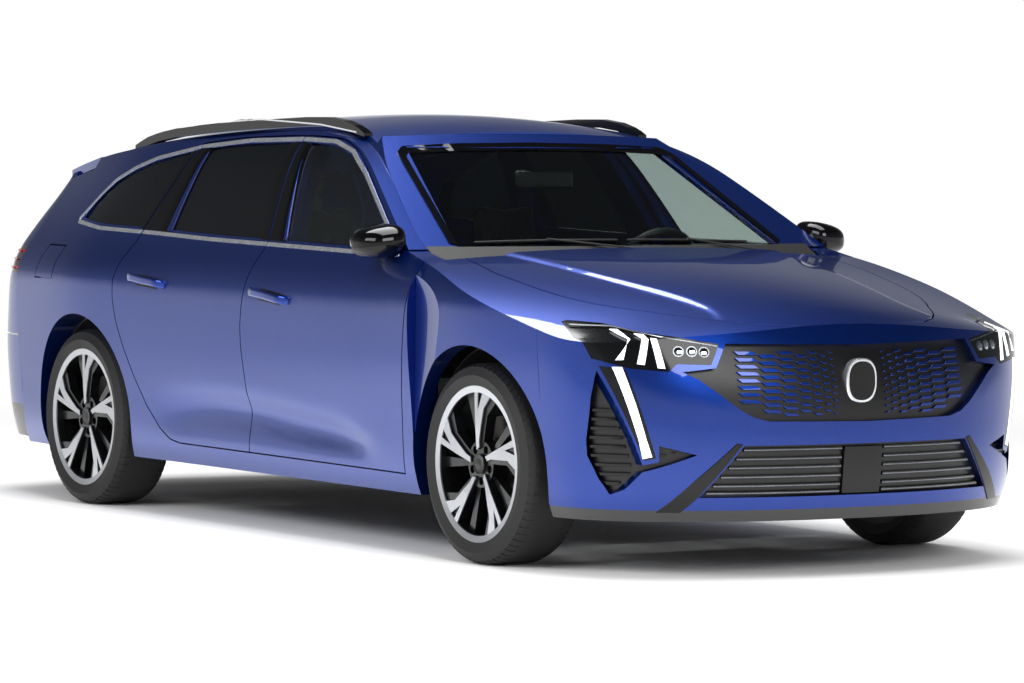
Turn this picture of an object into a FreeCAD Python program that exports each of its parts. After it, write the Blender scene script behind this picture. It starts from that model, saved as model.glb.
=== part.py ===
"""Five-door station wagon: body shell, doors, glass, cabin, running gear and wheels.

Millimetres.  +X points forward, +Y to the car's left, +Z up.  The origin lies on the
ground, half way along the car and on its centre line.
"""

import FreeCAD, Part
import math
import os

import Sketcher

from FreeCAD import Placement, Rotation, Vector

os.makedirs("parts", exist_ok=True)
doc = FreeCAD.newDocument("station_wagon")

# ---------------------------------------------------------------------------
# Sizes
# ---------------------------------------------------------------------------

SIZES = {
    "wheelbase": 2732,
    "front_overhang": 881,
    "rear_overhang": 1023,
    "body_width": 1852,
    "sill_height": 195,
    "belt_height": 965,
    "roof_height": 1430,
    "track": 1560,
    "tyre_diameter": 637,
    "tyre_width": 225,
    "rim_diameter": 482,
    "rim_width": 205,
    "spoke_thickness": 34,
    "hub_diameter": 150,
    "disc_diameter": 300,
    "disc_thickness": 26,
    "disc_setback": 12,
    "mount_face": 22,
    "arch_clearance": 58,
    "panel_gap": 5,
    "door_depth": 105,
    "pillar_depth": 55,
    "roof_depth": 36,
    "hood_depth": 42,
    "bumper_depth": 50,
    "glass_thickness": 5,
    "glass_setback": 8,
    "seat_width": 500,
    "steering_wheel_diameter": 352,
    "steering_grip": 30,
    "rail_width": 34,
    "rail_height": 26,
    "exhaust_diameter": 55,
}

sheet = doc.addObject("Spreadsheet::Sheet", "Sizes")
for row, (alias, value) in enumerate(SIZES.items(), start=1):
    sheet.set(f"A{row}", alias)
    sheet.set(f"B{row}", str(value))
    sheet.setAlias(f"B{row}", alias)
doc.recompute()


def size(alias):
    """Return one named size from the sheet."""
    return float(getattr(sheet, alias))


HALF_LENGTH = (size("wheelbase") + size("front_overhang") + size("rear_overhang")) / 2
HALF_WIDTH = size("body_width") / 2
FRONT_AXLE = HALF_LENGTH - size("front_overhang")
REAR_AXLE = size("rear_overhang") - HALF_LENGTH
WHEEL_CENTRE = size("tyre_diameter") / 2
ARCH_RADIUS = WHEEL_CENTRE + size("arch_clearance")
GAP = size("panel_gap")

# The tables below are drawn at these stations and levels.  along() and up() carry a
# drawn coordinate over to the sizes that the sheet holds.
DRAWN_STATIONS = (-2318.0, -1295.0, 1437.0, 2318.0)
DRAWN_LEVELS = (0.0, 195.0, 965.0, 1430.0)
DRAWN_HALF_WIDTH = 926.0
STATIONS = (-HALF_LENGTH, REAR_AXLE, FRONT_AXLE, HALF_LENGTH)
LEVELS = (0.0, size("sill_height"), size("belt_height"), size("roof_height"))


def carried(value, drawn, actual):
    """Map a drawn coordinate to the car's own by straight lines between the knots."""
    last = len(drawn) - 2
    i = max(0, min(last, sum(value > knot for knot in drawn[1:-1])))
    share = (value - drawn[i]) / (drawn[i + 1] - drawn[i])
    return actual[i] + share * (actual[i + 1] - actual[i])


def along(x):
    """Return the station of a drawn x."""
    return carried(x, DRAWN_STATIONS, STATIONS)


def up(z):
    """Return the level of a drawn z."""
    return carried(z, DRAWN_LEVELS, LEVELS)


def across(y):
    """Return the half-width coordinate of a drawn y."""
    return y * HALF_WIDTH / DRAWN_HALF_WIDTH


def drawn_x(x):
    """Return the drawn station of an actual x."""
    return carried(x, STATIONS, DRAWN_STATIONS)


def smooth(table, x):
    """Read a (position, value) table with a smooth curve that never overshoots."""
    if x <= table[0][0]:
        return table[0][1]
    if x >= table[-1][0]:
        return table[-1][1]
    steps = [b[0] - a[0] for a, b in zip(table, table[1:])]
    slopes = [(b[1] - a[1]) / d for (a, b), d in zip(zip(table, table[1:]), steps)]

    def tangent(i):
        if i in (0, len(table) - 1):
            return slopes[0] if i == 0 else slopes[-1]
        if slopes[i - 1] * slopes[i] <= 0:
            return 0.0
        w1 = 2 * steps[i] + steps[i - 1]
        w2 = steps[i] + 2 * steps[i - 1]
        return (w1 + w2) / (w1 / slopes[i - 1] + w2 / slopes[i])

    i = max(k for k in range(len(steps)) if table[k][0] <= x)
    t = (x - table[i][0]) / steps[i]
    return (
        (1 + 2 * t) * (1 - t) ** 2 * table[i][1]
        + t * (1 - t) ** 2 * steps[i] * tangent(i)
        + t * t * (3 - 2 * t) * table[i + 1][1]
        + t * t * (t - 1) * steps[i] * tangent(i + 1)
    )


# ---------------------------------------------------------------------------
# Skin of the car
# ---------------------------------------------------------------------------

# station, inset of the flank from the full half-width
PLAN_INSET = (
    (-2318, 150), (-2100, 92), (-1900, 52), (-1600, 24), (-1295, 8), (-900, 14),
    (0, 18), (900, 12), (1437, 6), (1650, 20), (1850, 50), (2000, 92), (2150, 160),
    (2318, 250),
)
# level, inset of the section: sill, lower door, shoulder, belt, side glass, cant rail
SECTION_INSET = (
    (170, 64), (195, 56), (230, 42), (300, 30), (420, 22), (520, 13), (650, 2),
    (760, 0), (830, 6), (900, 30), (945, 60), (975, 80), (1060, 118), (1160, 167),
    (1260, 223), (1337, 268), (1375, 308), (1425, 372), (1500, 480),
)
# station, further inset of the cabin's sides above the belt
CABIN_TAPER = ((-2318, 110), (-1900, 62), (-1500, 24), (-1000, 0), (2318, 0))
# station, depth of the roof's centre line under its highest level
ROOF_DROP = (
    (-2318, 250), (-2100, 200), (-1930, 158), (-1750, 122), (-1500, 78), (-1100, 30),
    (-700, 5), (-350, 0), (-150, 0), (0, 8), (100, 20), (200, 38), (280, 58), (400, 95),
    (600, 170), (2318, 900),
)
# station, level of the hood's centre line, further drop at its outer edge
HOOD_LINE = (
    (600, 1000), (950, 988), (1100, 976), (1400, 945), (1700, 905), (2000, 850),
    (2150, 812), (2222, 786), (2318, 730),
)
HOOD_DROP = ((600, 10), (1040, 26), (1400, 62), (1700, 96), (1850, 112), (2000, 122), (2150, 112), (2318, 100))
# level, distance of the nose's centre line behind the foremost point
NOSE_LINE = (
    (100, 90), (176, 52), (214, 34), (250, 20), (400, 5), (500, 0), (600, 12),
    (680, 40), (760, 72), (790, 92), (900, 170),
)
# level, distance of the tail's centre line ahead of the rearmost point
TAIL_LINE = (
    (100, 120), (200, 80), (271, 40), (362, 14), (480, 0), (540, 12), (590, 36), (640, 66),
    (700, 95), (769, 117), (800, 124), (900, 140), (985, 160), (1060, 215), (1160, 300),
    (1245, 372), (1300, 420), (1500, 560),
)
# station, drop of the roof at ROOF_CROWN_AT from the centre line
ROOF_CROWN = ((-2318, 46), (-1475, 50), (-800, 60), (-320, 52), (100, 38), (600, 34))
# station, level of the doors' lower crease
WEDGE_TOP = ((-700, 488), (-345, 477), (-45, 468), (219, 454), (478, 438), (636, 414), (750, 348),
             (870, 272))
# station, level at which the hollow under that crease is deepest
WEDGE_FLOOR = ((-700, 335), (-504, 385), (-368, 415), (-53, 414), (211, 393), (470, 371),
               (652, 362), (780, 318), (870, 270))
# station, depth of that hollow
WEDGE_DEPTH = ((-760, 0), (-600, 9), (-368, 17), (400, 19), (640, 17), (780, 9), (900, 0))
WEDGE_FOOT = 268.0
# station, swell of the haunches over the wheels
HAUNCH = ((-2100, 0), (-1700, 8), (-1295, 13), (-950, 7), (-500, 0), (700, 0), (1100, 6), (1437, 13),
          (1800, 6))
# level, share of that swell
HAUNCH_LEVEL = ((600, 0), (740, 0.5), (820, 1), (866, 1), (925, 0.25), (975, 0))
NOSE_ROOT = 1800.0
NOSE_POWER = 2.2
TAIL_ROOT = -1850.0
TAIL_POWER = 2.6
SCREEN_FOOT = 999.0
SCREEN_SLOPE = 1.77
SCREEN_BOW = 30.0
SCREEN_CORNER = 660.0
SCREEN_LEVEL = 960.0
ROOF_CROWN_AT = 540.0
HOOD_CROWN_AT = 800.0
HOOD_CROWN_POWER = 1.8
SEAM = 0.3
FAR = 1400.0
CREASE_CABIN = (-1850, -1640, -1400, -1000, -600, -200, 100, 330, 480, 640, 800, 945)
CREASE_HOOD = (945, 1100, 1300, 1500, 1700, 1800)


def wedge(x, z):
    """Return how deep the hollow along the lower doors is."""
    floor, crest = smooth(WEDGE_FLOOR, x), smooth(WEDGE_TOP, x)
    if z > floor:
        share = (crest - z) / (crest - floor)
    else:
        share = (z - WEDGE_FOOT) / max(1.0, floor - WEDGE_FOOT)
    share = max(0.0, min(1.0, share))
    return smooth(WEDGE_DEPTH, x) * share * share * (3 - 2 * share)


def flank(x, z):
    """Return the skin's drawn half-width at a drawn station and level."""
    cabin = max(0.0, min(1.0, (z - 965) / 200))
    inset = smooth(PLAN_INSET, x) + smooth(SECTION_INSET, z) + cabin * smooth(CABIN_TAPER, x)
    return DRAWN_HALF_WIDTH - inset - wedge(x, z) + smooth(HAUNCH, x) * smooth(HAUNCH_LEVEL, z)


def roof(x, y):
    """Return the drawn level of the roof."""
    return DRAWN_LEVELS[3] - smooth(ROOF_DROP, x) - smooth(ROOF_CROWN, x) * (y / ROOF_CROWN_AT) ** 2


def hood(x, y):
    """Return the drawn level of the hood and of the fender's top."""
    crown = (abs(y) / HOOD_CROWN_AT) ** HOOD_CROWN_POWER
    return smooth(HOOD_LINE, x) - smooth(HOOD_DROP, x) * crown


def screen_bow(y):
    """Return how far the windscreen curves back at a half-width."""
    return SCREEN_BOW * (min(abs(y), SCREEN_CORNER) / SCREEN_CORNER) ** 2


def screen(y, z):
    """Return the drawn station of the windscreen."""
    return SCREEN_FOOT + (SCREEN_LEVEL - z) * SCREEN_SLOPE - screen_bow(y)


def top(x, y):
    """Return the drawn level of whatever covers the car at a point in plan."""
    over_screen = SCREEN_LEVEL + (SCREEN_FOOT - screen_bow(y) - x) / SCREEN_SLOPE
    cabin = min(roof(x, y), over_screen)
    return max(cabin, hood(x, y)) if x > 600 else cabin


def bisected(function, low, high):
    """Return where a rising function crosses zero."""
    for _ in range(40):
        middle = (low + high) / 2
        if function(middle) > 0:
            high = middle
        else:
            low = middle
    return (low + high) / 2


def crease(x):
    """Return the drawn level where the flank meets the top of the car."""
    return bisected(lambda z: z - top(x, flank(x, z)), 600, 1480)


def round_end(z, share, root, tip, power, inset):
    """Return a drawn plan point of a rounded end; share runs from -1 (right) to 1 (left)."""
    angle = share * math.pi / 2
    half = flank(root, z) - inset
    tip -= math.copysign(inset, tip)
    y = half * math.copysign(abs(math.sin(angle)) ** (2 / power), share)
    return root + (tip - root) * abs(math.cos(angle)) ** (2 / power), y


def nose(z, share, inset=0.0):
    """Return a drawn point on the nose, or inside it by an inset."""
    tip = DRAWN_STATIONS[3] - smooth(NOSE_LINE, z)
    x, y = round_end(z, share, NOSE_ROOT, tip, NOSE_POWER, inset)
    return (x, y, z)


def tail(z, share, inset=0.0):
    """Return a drawn point on the tail, or inside it by an inset."""
    tip = DRAWN_STATIONS[0] + smooth(TAIL_LINE, z)
    x, y = round_end(z, share, TAIL_ROOT, tip, TAIL_POWER, inset)
    return (x, y, z)


def steps(low, high, count):
    """Return evenly spaced numbers from low to high."""
    return [low + (high - low) * i / (count - 1) for i in range(count)]


def placed(rows):
    """Carry a grid of drawn points over to the car's own sizes."""
    return [[Vector(along(x), across(y), up(z)) for x, y, z in row] for row in rows]


def knots_for(count):
    """Return clamped even knots and their multiplicities for a cubic with so many poles."""
    spans = count - 3
    return list(range(spans + 1)), [4] + [1] * (spans - 1) + [4]


def draped(grid):
    """Return the cubic surface that a grid of poles pulls into shape, free of ripples."""
    u_knots, u_mults = knots_for(len(grid))
    v_knots, v_mults = knots_for(len(grid[0]))
    skin = Part.BSplineSurface()
    skin.buildFromPolesMultsKnots(grid, u_mults, v_mults, u_knots, v_knots, False, False, 3, 3)
    return skin


def thick(outer, inner):
    """Return the closed solid between two grids of poles."""
    skins = [draped(outer), draped(inner)]
    edges = []
    for skin in skins:
        u0, u1, v0, v1 = skin.bounds()
        edges.append((skin.uIso(u0), skin.uIso(u1), skin.vIso(v0), skin.vIso(v1)))
    faces = [skin.toShape() for skin in skins]
    for one, other in zip(*edges):
        faces.append(Part.makeRuledSurface(one.toShape(), other.toShape()))
    shell = Part.makeShell(faces)
    shell.sewShape()
    solid = Part.makeSolid(shell)
    if solid.Volume < 0:
        solid.reverse()
    return solid


def mirrored(shape):
    """Return a shape mirrored to the other side of the car."""
    return shape.mirror(Vector(0, 0, 0), Vector(0, 1, 0))


def prism(outline, axis, low, high, grow=0.0):
    """Return a prism on an outline of drawn points, seen along one axis."""
    corners = []
    for a, b in outline:
        if axis == "y":
            corners.append(Vector(along(a), 0, up(b)))
        elif axis == "x":
            corners.append(Vector(0, across(a), up(b)))
        else:
            corners.append(Vector(along(a), across(b), 0))
    wire = Part.makePolygon(corners + [corners[0]])
    if grow:
        wire = Part.Face(wire).makeOffset2D(grow, 2).OuterWire
    directions = {"x": Vector(1, 0, 0), "y": Vector(0, 1, 0), "z": Vector(0, 0, 1)}
    direction = directions[axis]
    wire.translate(direction * low)
    return Part.Face(wire).extrude(direction * (high - low))


SIDE_STATIONS = (-1850, -1650, -1450, -1295, -1100, -900, -740, -600, -470, -340, -180, 0, 180, 340,
                 480, 600, 700, 790, 880, 1000, 1150, 1300, 1437, 1600, 1800)
SIDE_LEVELS = (195, 230, 262, 290, 320, 350, 380, 410, 440, 470, 510, 570, 640, 710, 780, 830, 870,
               905, 940, 975, 1020, 1100, 1200, 1300, 1420)


def wall_depth(z):
    """Return the side wall's depth: doors and sills are deep, pillars thin."""
    share = max(0.0, min(1.0, (z - 925) / 90))
    blend = share * share * (3 - 2 * share)
    return size("door_depth") + (size("pillar_depth") - size("door_depth")) * blend


def side_grid(offset):
    """Return the right flank's points, pushed in by a function of the level."""
    return placed([[(x, offset(z) - flank(x, z), z) for z in SIDE_LEVELS] for x in SIDE_STATIONS])


def under_crease(shape):
    """Return a right-hand shape cut along the crease between flank and top."""
    cabin = [Vector(along(x), 0, up(crease(x))) for x in CREASE_CABIN]
    front = [Vector(along(x), 0, up(crease(x))) for x in CREASE_HOOD]
    edges = []
    for points in (cabin, front):
        knots, mults = knots_for(len(points))
        curve = Part.BSplineCurve()
        curve.buildFromPolesMultsKnots(points, mults, knots, False, 3)
        edges.append(curve.toShape())
    low = LEVELS[1] - 100
    corners = [front[-1], Vector(front[-1].x, 0, low), Vector(cabin[0].x, 0, low), cabin[0]]
    for start, end in zip(corners, corners[1:]):
        edges.append(Part.makeLine(start, end))
    face = Part.Face(Part.Wire(Part.__sortEdges__(edges)))
    face.translate(Vector(0, -FAR, 0))
    return shape.common(face.extrude(Vector(0, FAR, 0)))


# ---------------------------------------------------------------------------
# Outlines of the openings: side views as (station, level), end views as (half-width, level)
# ---------------------------------------------------------------------------

# station, level of the bright strip over and under the side glass
WINDOW_TOP = ((-1511, 1036), (-1470, 1075), (-1424, 1120), (-1347, 1180), (-1230, 1225), (-1097, 1262),
              (-814, 1306), (-493, 1330), (-130, 1337), (104, 1330), (265, 1298), (436, 1226),
              (604, 1132), (760, 1042), (900, 967))
BELT = ((-1511, 1031), (-1288, 1010), (-845, 1001), (-446, 989), (71, 980), (552, 972), (900, 967))
# level, station of the shut line between the doors
DOOR_LINE = ((262, -58), (427, -48), (675, -70), (881, -40), (980, -20), (1350, -134))
GLASS_INSET = 13.0
FRAME_OUTSET = 9.0


def over_glass(start, end, count, lift):
    """Return outline points along the top of the side glass."""
    return [(x, smooth(WINDOW_TOP, x) + lift) for x in steps(start, end, count)]


def under_glass(start, end, count):
    """Return outline points along the foot of the side glass."""
    return [(x, smooth(BELT, x) + GLASS_INSET) for x in steps(start, end, count)]


def door_line(shift):
    """Return the shut line between the doors from sill to roof, moved along the car."""
    return [(smooth(DOOR_LINE, z) + shift, z) for z in steps(266, 1344, 16)]


FRONT_DOOR = [
    (1060, 958), (1066, 900), (1047, 784), (1024, 640), (1004, 503), (997, 380), (995, 262),
    *door_line(GAP / 2), *over_glass(-110, 885, 18, FRAME_OUTSET),
]
REAR_DOOR = [
    (-560, 268), (-630, 278), (-700, 312), (-789, 388), (-868, 485), (-931, 582), (-978, 680),
    (-997, 757), (-1000, 825), (-985, 889), (-950, 996), (-870, 1180), (-822, 1313),
    *over_glass(-800, -150, 8, FRAME_OUTSET), *door_line(-GAP / 2)[::-1],
]
FRONT_WINDOW = [*under_glass(95, 826, 6), (702, 1066), *over_glass(694, -74, 13, -GLASS_INSET)]
REAR_WINDOW = [*under_glass(-745, -66, 5), *over_glass(-196, -742, 8, -GLASS_INSET)]
QUARTER_WINDOW = [*under_glass(-1470, -966, 6), *over_glass(-862, -1440, 12, -GLASS_INSET)]
SCREEN_OPENING = [(-640, 990), (-505, 1312), (505, 1312), (640, 990)]
TAILGATE = [(-560, 610), (-690, 640), (-690, 985), (-610, 1262), (610, 1262), (690, 985),
            (690, 640), (560, 610)]
TAILGATE_WINDOW = [(-560, 1000), (-500, 1185), (500, 1185), (560, 1000)]
GRILLE_OPENING = [
    (-460, 724), (-500, 650), (-600, 638), (-556, 615), (-489, 563), (-442, 526), (-399, 500),
    (-345, 486), (0, 480), (345, 486), (399, 500), (442, 526), (489, 563), (556, 615), (600, 638),
    (500, 650), (460, 724), (0, 716),
]
INTAKE_OPENING = [(-548, 252), (-423, 412), (423, 412), (548, 252)]
HEAD_LAMP = [
    (480, 723), (567, 738), (654, 754), (709, 780), (794, 788), (836, 735), (818, 676), (737, 648),
    (637, 638), (612, 662), (514, 659),
]
FANG_LAMP = [(746, 645), (804, 655), (699, 367), (670, 374)]
SIDE_VENT = [
    (812, 618), (818, 560), (820, 426), (816, 377), (793, 308), (767, 259), (738, 276), (702, 330),
    (630, 356), (561, 384), (664, 412), (662, 362), (702, 352), (730, 436), (808, 640),
]
TAIL_LAMP = [(720, 828), (712, 928), (880, 928), (880, 828)]
GATE_LAMP = [(420, 850), (420, 915), (690, 925), (694, 832)]
FUEL_FLAP = [(-1500, 820), (-1490, 935), (-1640, 935), (-1660, 820)]

# station, half-width of the hood's front and side edges, from the nose back to the windscreen
HOOD_EDGE = [(2224, 0), (2218, 150), (2176, 320), (2120, 392), (2050, 449), (1975, 498), (1901, 540),
             (1820, 592), (1728, 640), (1620, 678), (1509, 700), (1300, 722), (1066, 700)]
TAILGATE_FRONT = -1640.0
ROOF_FRONT = 290.0
FENDER_REAR = 1066.0
FENDER_DEPTH = 60.0
NOSE_FOOT = 176.0
NOSE_TOP = 880.0
BAY_DEPTH = 330.0
NOSE_SHARES = (0, 0.06, 0.13, 0.24, 0.38, 0.55, 0.72, 0.85, 0.95, 1)
TAIL_LEVELS = (215, 290, 362, 450, 540, 592)
GATE_LEVELS = (600, 650, 700, 780, 860, 930, 985, 1060, 1150, 1265)
PARTS = {}


def part(name, shape):
    """Add one sub-part with its own label and placement."""
    feature = doc.addObject("Part::Feature", name)
    feature.Label = name
    feature.Shape = shape
    feature.Placement = Placement()
    PARTS[name] = feature
    return feature


def both_sides(shape):
    """Return a right-hand shape with its left-hand twin, as separate solids."""
    return Part.makeCompound([shape, mirrored(shape)])


def even(depth):
    """Return an offset that is the same at every level."""
    return lambda level: depth


def side_prism(outline, grow=0.0):
    """Return a prism through the right flank."""
    return prism(outline, "y", -FAR, -across(350), grow)


def end_prism(outline, facing, grow=0.0):
    """Return a prism through the nose (facing 1) or the tail (facing -1)."""
    low, high = sorted((facing * 1000.0, facing * 2.0 * HALF_LENGTH))
    return prism(outline, "x", low, high, grow)


def flipped(outline):
    """Return an end view's outline on the other side of the car."""
    return [(-a, b) for a, b in outline]


def roof_rows(stations, depth, margin):
    """Return points on the roof, ending a margin short of the flanks."""
    rows = []
    for x in stations:
        edge = flank(x, crease(x)) - margin
        rows.append([(x, edge * share, roof(x, edge * share) - depth) for share in steps(-1, 1, 9)])
    return placed(rows)


# ---------------------------------------------------------------------------
# Spoiler, which caps the tail and swings with the tailgate
# ---------------------------------------------------------------------------

SPOILER_STATIONS = (-1940, -1870, -1790, -1710, TAILGATE_FRONT)
SPOILER_DEPTH = 32.0
TAIL_DEPTH = 38.0
around_spoiler = (-2030, -1940, -1850, -1750, TAILGATE_FRONT + GAP)
spoiler = thick(
    roof_rows(SPOILER_STATIONS, 0, 2), roof_rows(SPOILER_STATIONS, SPOILER_DEPTH, 2)
)
spoiler_space = thick(
    roof_rows(around_spoiler, -150, -90), roof_rows(around_spoiler, SPOILER_DEPTH + GAP, -90)
)
over_spoiler = thick(
    roof_rows(around_spoiler, -150, -90), roof_rows(around_spoiler, SPOILER_DEPTH / 2, -90)
)

# ---------------------------------------------------------------------------
# Hood, with the shelves of the fenders and of the nose round it
# ---------------------------------------------------------------------------

OVERREACH = 30.0
SHELF_DEPTH = 30.0
NOSE_LEAD = 140.0
HOOD_LEAD = 70.0
CREASE_SHARE = 0.295
CREASE_WIDTH = 0.02
HALF_SHARES = (0.06, 0.12, 0.18, 0.23, 0.265, 0.285, 0.295, 0.305, 0.325, 0.36, 0.42, 0.49, 0.56,
               0.63, 0.70, 0.77, 0.84, 0.90, 0.95, 1.0)
HOOD_SHARES = [-share for share in HALF_SHARES[::-1]] + [0.0, *HALF_SHARES]
HOOD_CREASE = ((1036, 545), (1300, 500), (1600, 450), (1900, 390), (2050, 378), (2180, 448), (2330, 448))
BULGE_HEIGHT = ((1036, 9), (1700, 9), (2000, 6), (2170, 0), (2400, 0))
HINGE_AT = 590.0
HINGE_WIDTH = 16.0
HOOD_HINGE = [(1030.3, 890), (1030.3, 911), (1066, 926), (1120, 922), (1120, 908), (1062, 890)]
DEEP = 750.0
ABOVE = 60.0


def nose_top(share):
    """Return the drawn level of the crest where the nose meets the hood's surface."""
    def above(z):
        x, y, _ = nose(z, share)
        return z - hood(x, y)

    return bisected(above, 600, 900)


def front_rows(depth, creased=False, lead=0.0):
    """Return points on the surface over the engine bay, a little past the flanks and the nose.

    In the creased one a column on each side follows the hood's crease, and what lies between is raised.
    The lead is how much further forward it runs, over what stands out under the crest.
    """
    root = flank(NOSE_ROOT, crease(NOSE_ROOT)) + OVERREACH
    crease_y = nose(nose_top(CREASE_SHARE), CREASE_SHARE, -OVERREACH)[1]
    rows = []
    for share in HOOD_SHARES if creased else steps(-1, 1, 33):
        x1, y1, _ = nose(nose_top(share), share, -OVERREACH)
        row = []
        for forward in steps(0, 1, 13):
            x = FENDER_REAR - OVERREACH + (x1 + lead - FENDER_REAR + OVERREACH) * forward
            wide = flank(min(x, NOSE_ROOT), crease(min(x, NOSE_ROOT))) + OVERREACH
            y = abs(y1) * wide / root
            rise = 0.0
            if creased:
                even_crease = crease_y * wide / root
                line = smooth(HOOD_CREASE, x)
                within = 0.5 + (CREASE_SHARE - abs(share)) / CREASE_WIDTH
                rise = smooth(BULGE_HEIGHT, x) * max(0.0, min(1.0, within))
                if y <= even_crease:
                    y *= line / even_crease
                else:
                    y = line + (y - even_crease) * (wide - line) / (wide - even_crease)
            row.append((x, math.copysign(y, share), hood(x, y) + rise - depth))
        rows.append(row)
    return placed(rows)


def nose_rows(inset, low, high):
    """Return points on the nose between two levels."""
    rows = []
    for share in steps(-1, 1, 21):
        rows.append([nose(low + (high - low) * f, share, inset) for f in NOSE_SHARES])
    return placed(rows)


def plan_prism(outline, grow=0.0):
    """Return an upright prism on a plan outline."""
    return prism(outline, "z", up(100), up(1300), grow)


hood_edge = HOOD_EDGE + [(x, -y) for x, y in HOOD_EDGE[:0:-1]]
front_skin = front_rows(0)
under_skin = thick(front_skin, front_rows(DEEP))
under_shelf = thick(front_rows(SHELF_DEPTH), front_rows(DEEP + ABOVE))
under_nose = thick(front_rows(0, False, NOSE_LEAD), front_rows(DEEP, False, NOSE_LEAD))
nose_shelf = thick(front_rows(SHELF_DEPTH, False, NOSE_LEAD), front_rows(DEEP + ABOVE, False, NOSE_LEAD))
hood_panel = thick(
    front_rows(0, True, HOOD_LEAD), front_rows(size("hood_depth"), True, HOOD_LEAD)
).common(plan_prism(hood_edge))
hood_space = thick(
    front_rows(-ABOVE, False, HOOD_LEAD), front_rows(size("hood_depth") + GAP, False, HOOD_LEAD)
).common(
    plan_prism(hood_edge, GAP)
)
bumper_depth = size("bumper_depth")
nose_full = thick(nose_rows(0, NOSE_FOOT, NOSE_TOP), nose_rows(BAY_DEPTH, NOSE_FOOT, NOSE_TOP))
nose_core = thick(
    nose_rows(bumper_depth, NOSE_FOOT - ABOVE, NOSE_TOP), nose_rows(BAY_DEPTH + ABOVE, NOSE_FOOT - ABOVE, NOSE_TOP)
).common(nose_shelf)
front_wall = nose_full.common(under_nose).cut([nose_core, hood_space])

# ---------------------------------------------------------------------------
# Body sides, doors and side glass
# ---------------------------------------------------------------------------

skin = side_grid(even(0))
side_wall = under_crease(thick(skin, side_grid(wall_depth)))
fender_core = thick(side_grid(even(FENDER_DEPTH)), side_grid(even(BAY_DEPTH + ABOVE))).common(under_shelf)
fender_wall = thick(skin, side_grid(even(BAY_DEPTH))).common(under_skin).cut([fender_core, hood_space])
arches = [
    Part.makeCylinder(ARCH_RADIUS, FAR, Vector(axle, -FAR, WHEEL_CENTRE), Vector(0, 1, 0))
    for axle in (FRONT_AXLE, REAR_AXLE)
]
ahead_of_door = [(FENDER_REAR, 100), (FENDER_REAR, 1500), (1900, 1500), (1900, 100)]
fender_outline = [(FENDER_REAR, 400), (FENDER_REAR, 1500), (1900, 1500), (1900, 430)]
door_holes = [side_prism(FRONT_DOOR, GAP), side_prism(REAR_DOOR, GAP)]
fender = fender_wall.common(side_prism(fender_outline)).cut(arches[0])
body_side = side_wall.cut(
    [side_prism(ahead_of_door, SEAM), side_prism(QUARTER_WINDOW), *arches, *door_holes,
     spoiler_space]
)
SILL_REACH = 160.0
SILL_TOP = 262.0
PILLAR_REACH = 45.0
HINGE_LEVELS = (380, 720)
JACK_STATIONS = (800, -700)
JACK_AT = 728.0
JACK_LEVEL = 187.0
JACK_LENGTH = 90.0
JACK_WIDTH = 40.0
sill = thick(side_grid(even(size("door_depth") - 8)), side_grid(even(SILL_REACH))).common(
    side_prism([(-780, 196), (1040, 196), (1040, SILL_TOP), (-780, SILL_TOP)])
)
pillar = thick(
    side_grid(lambda z: wall_depth(z) + GAP), side_grid(lambda z: wall_depth(z) + PILLAR_REACH)
).common(side_prism([(-150, 240), (50, 240), (50, 975), (-60, 1300), (-215, 1300), (-110, 975)]))
pads = [
    thick(
        side_grid(lambda z: wall_depth(z) - GAP + SEAM), side_grid(lambda z: wall_depth(z) + 20)
    ).common(side_prism([(-80, level), (-30, level), (-30, level + 60), (-80, level + 60)]))
    for level in HINGE_LEVELS
]
jack_pads = [
    Part.makeBox(JACK_LENGTH, JACK_WIDTH, SILL_TOP - 240,
                 Vector(along(x) - JACK_LENGTH / 2, -across(JACK_AT) - JACK_WIDTH / 2, up(JACK_LEVEL)))
    for x in JACK_STATIONS
]
body_side = body_side.fuse([sill, pillar, *pads, *jack_pads])
door_wall = under_crease(thick(skin, side_grid(lambda z: wall_depth(z) - GAP)))
FLANGE = 26.0
FLANGE_STEP = 8.0
behind_flange = thick(side_grid(even(FLANGE)), side_grid(even(220)))
front_step = [(-500, 1400), (-500, 200), (smooth(DOOR_LINE, 262) + FLANGE_STEP, 200),
              *door_line(GAP / 2 + FLANGE_STEP), (-125, 1400)]
rear_step = [(-1400, 200), (-552, 200)] + [(x + FLANGE_STEP, z) for x, z in REAR_DOOR[:13]] + [
    (-800, 1400), (-1400, 1400)]
front_door = door_wall.common(side_prism(FRONT_DOOR)).cut(
    [side_prism(FRONT_WINDOW), behind_flange.common(side_prism(front_step))]
)
rear_door = door_wall.common(side_prism(REAR_DOOR)).cut(
    [side_prism(REAR_WINDOW), arches[1], behind_flange.common(side_prism(rear_step))]
)

setback = size("glass_setback")
pane = thick(side_grid(even(setback)), side_grid(even(setback + size("glass_thickness"))))
front_glass = pane.common(side_prism(FRONT_WINDOW, -SEAM))
rear_glass = pane.common(side_prism(REAR_WINDOW, -SEAM))
quarter_glass = pane.common(side_prism(QUARTER_WINDOW, -SEAM))
FLAP_DEPTH = 12.0
flap_skin = thick(skin, side_grid(even(FLAP_DEPTH)))
flap_recess = thick(side_grid(even(-5.0)), side_grid(even(FLAP_DEPTH + SEAM)))

part("body_side_right", body_side.cut(flap_recess.common(side_prism(FUEL_FLAP, GAP))))
part("body_side_left", mirrored(body_side))
part("front_fenders", both_sides(fender))
part("fuel_flap", flap_skin.common(side_prism(FUEL_FLAP)))
part("quarter_glass", both_sides(quarter_glass))
for label, shape in (
    ("front_door", front_door),
    ("rear_door", rear_door),
    ("front_door_glass", front_glass),
    ("rear_door_glass", rear_glass),
):
    part(f"{label}_right", shape)
    part(f"{label}_left", mirrored(shape))

# ---------------------------------------------------------------------------
# Roof and windscreen
# ---------------------------------------------------------------------------


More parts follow.
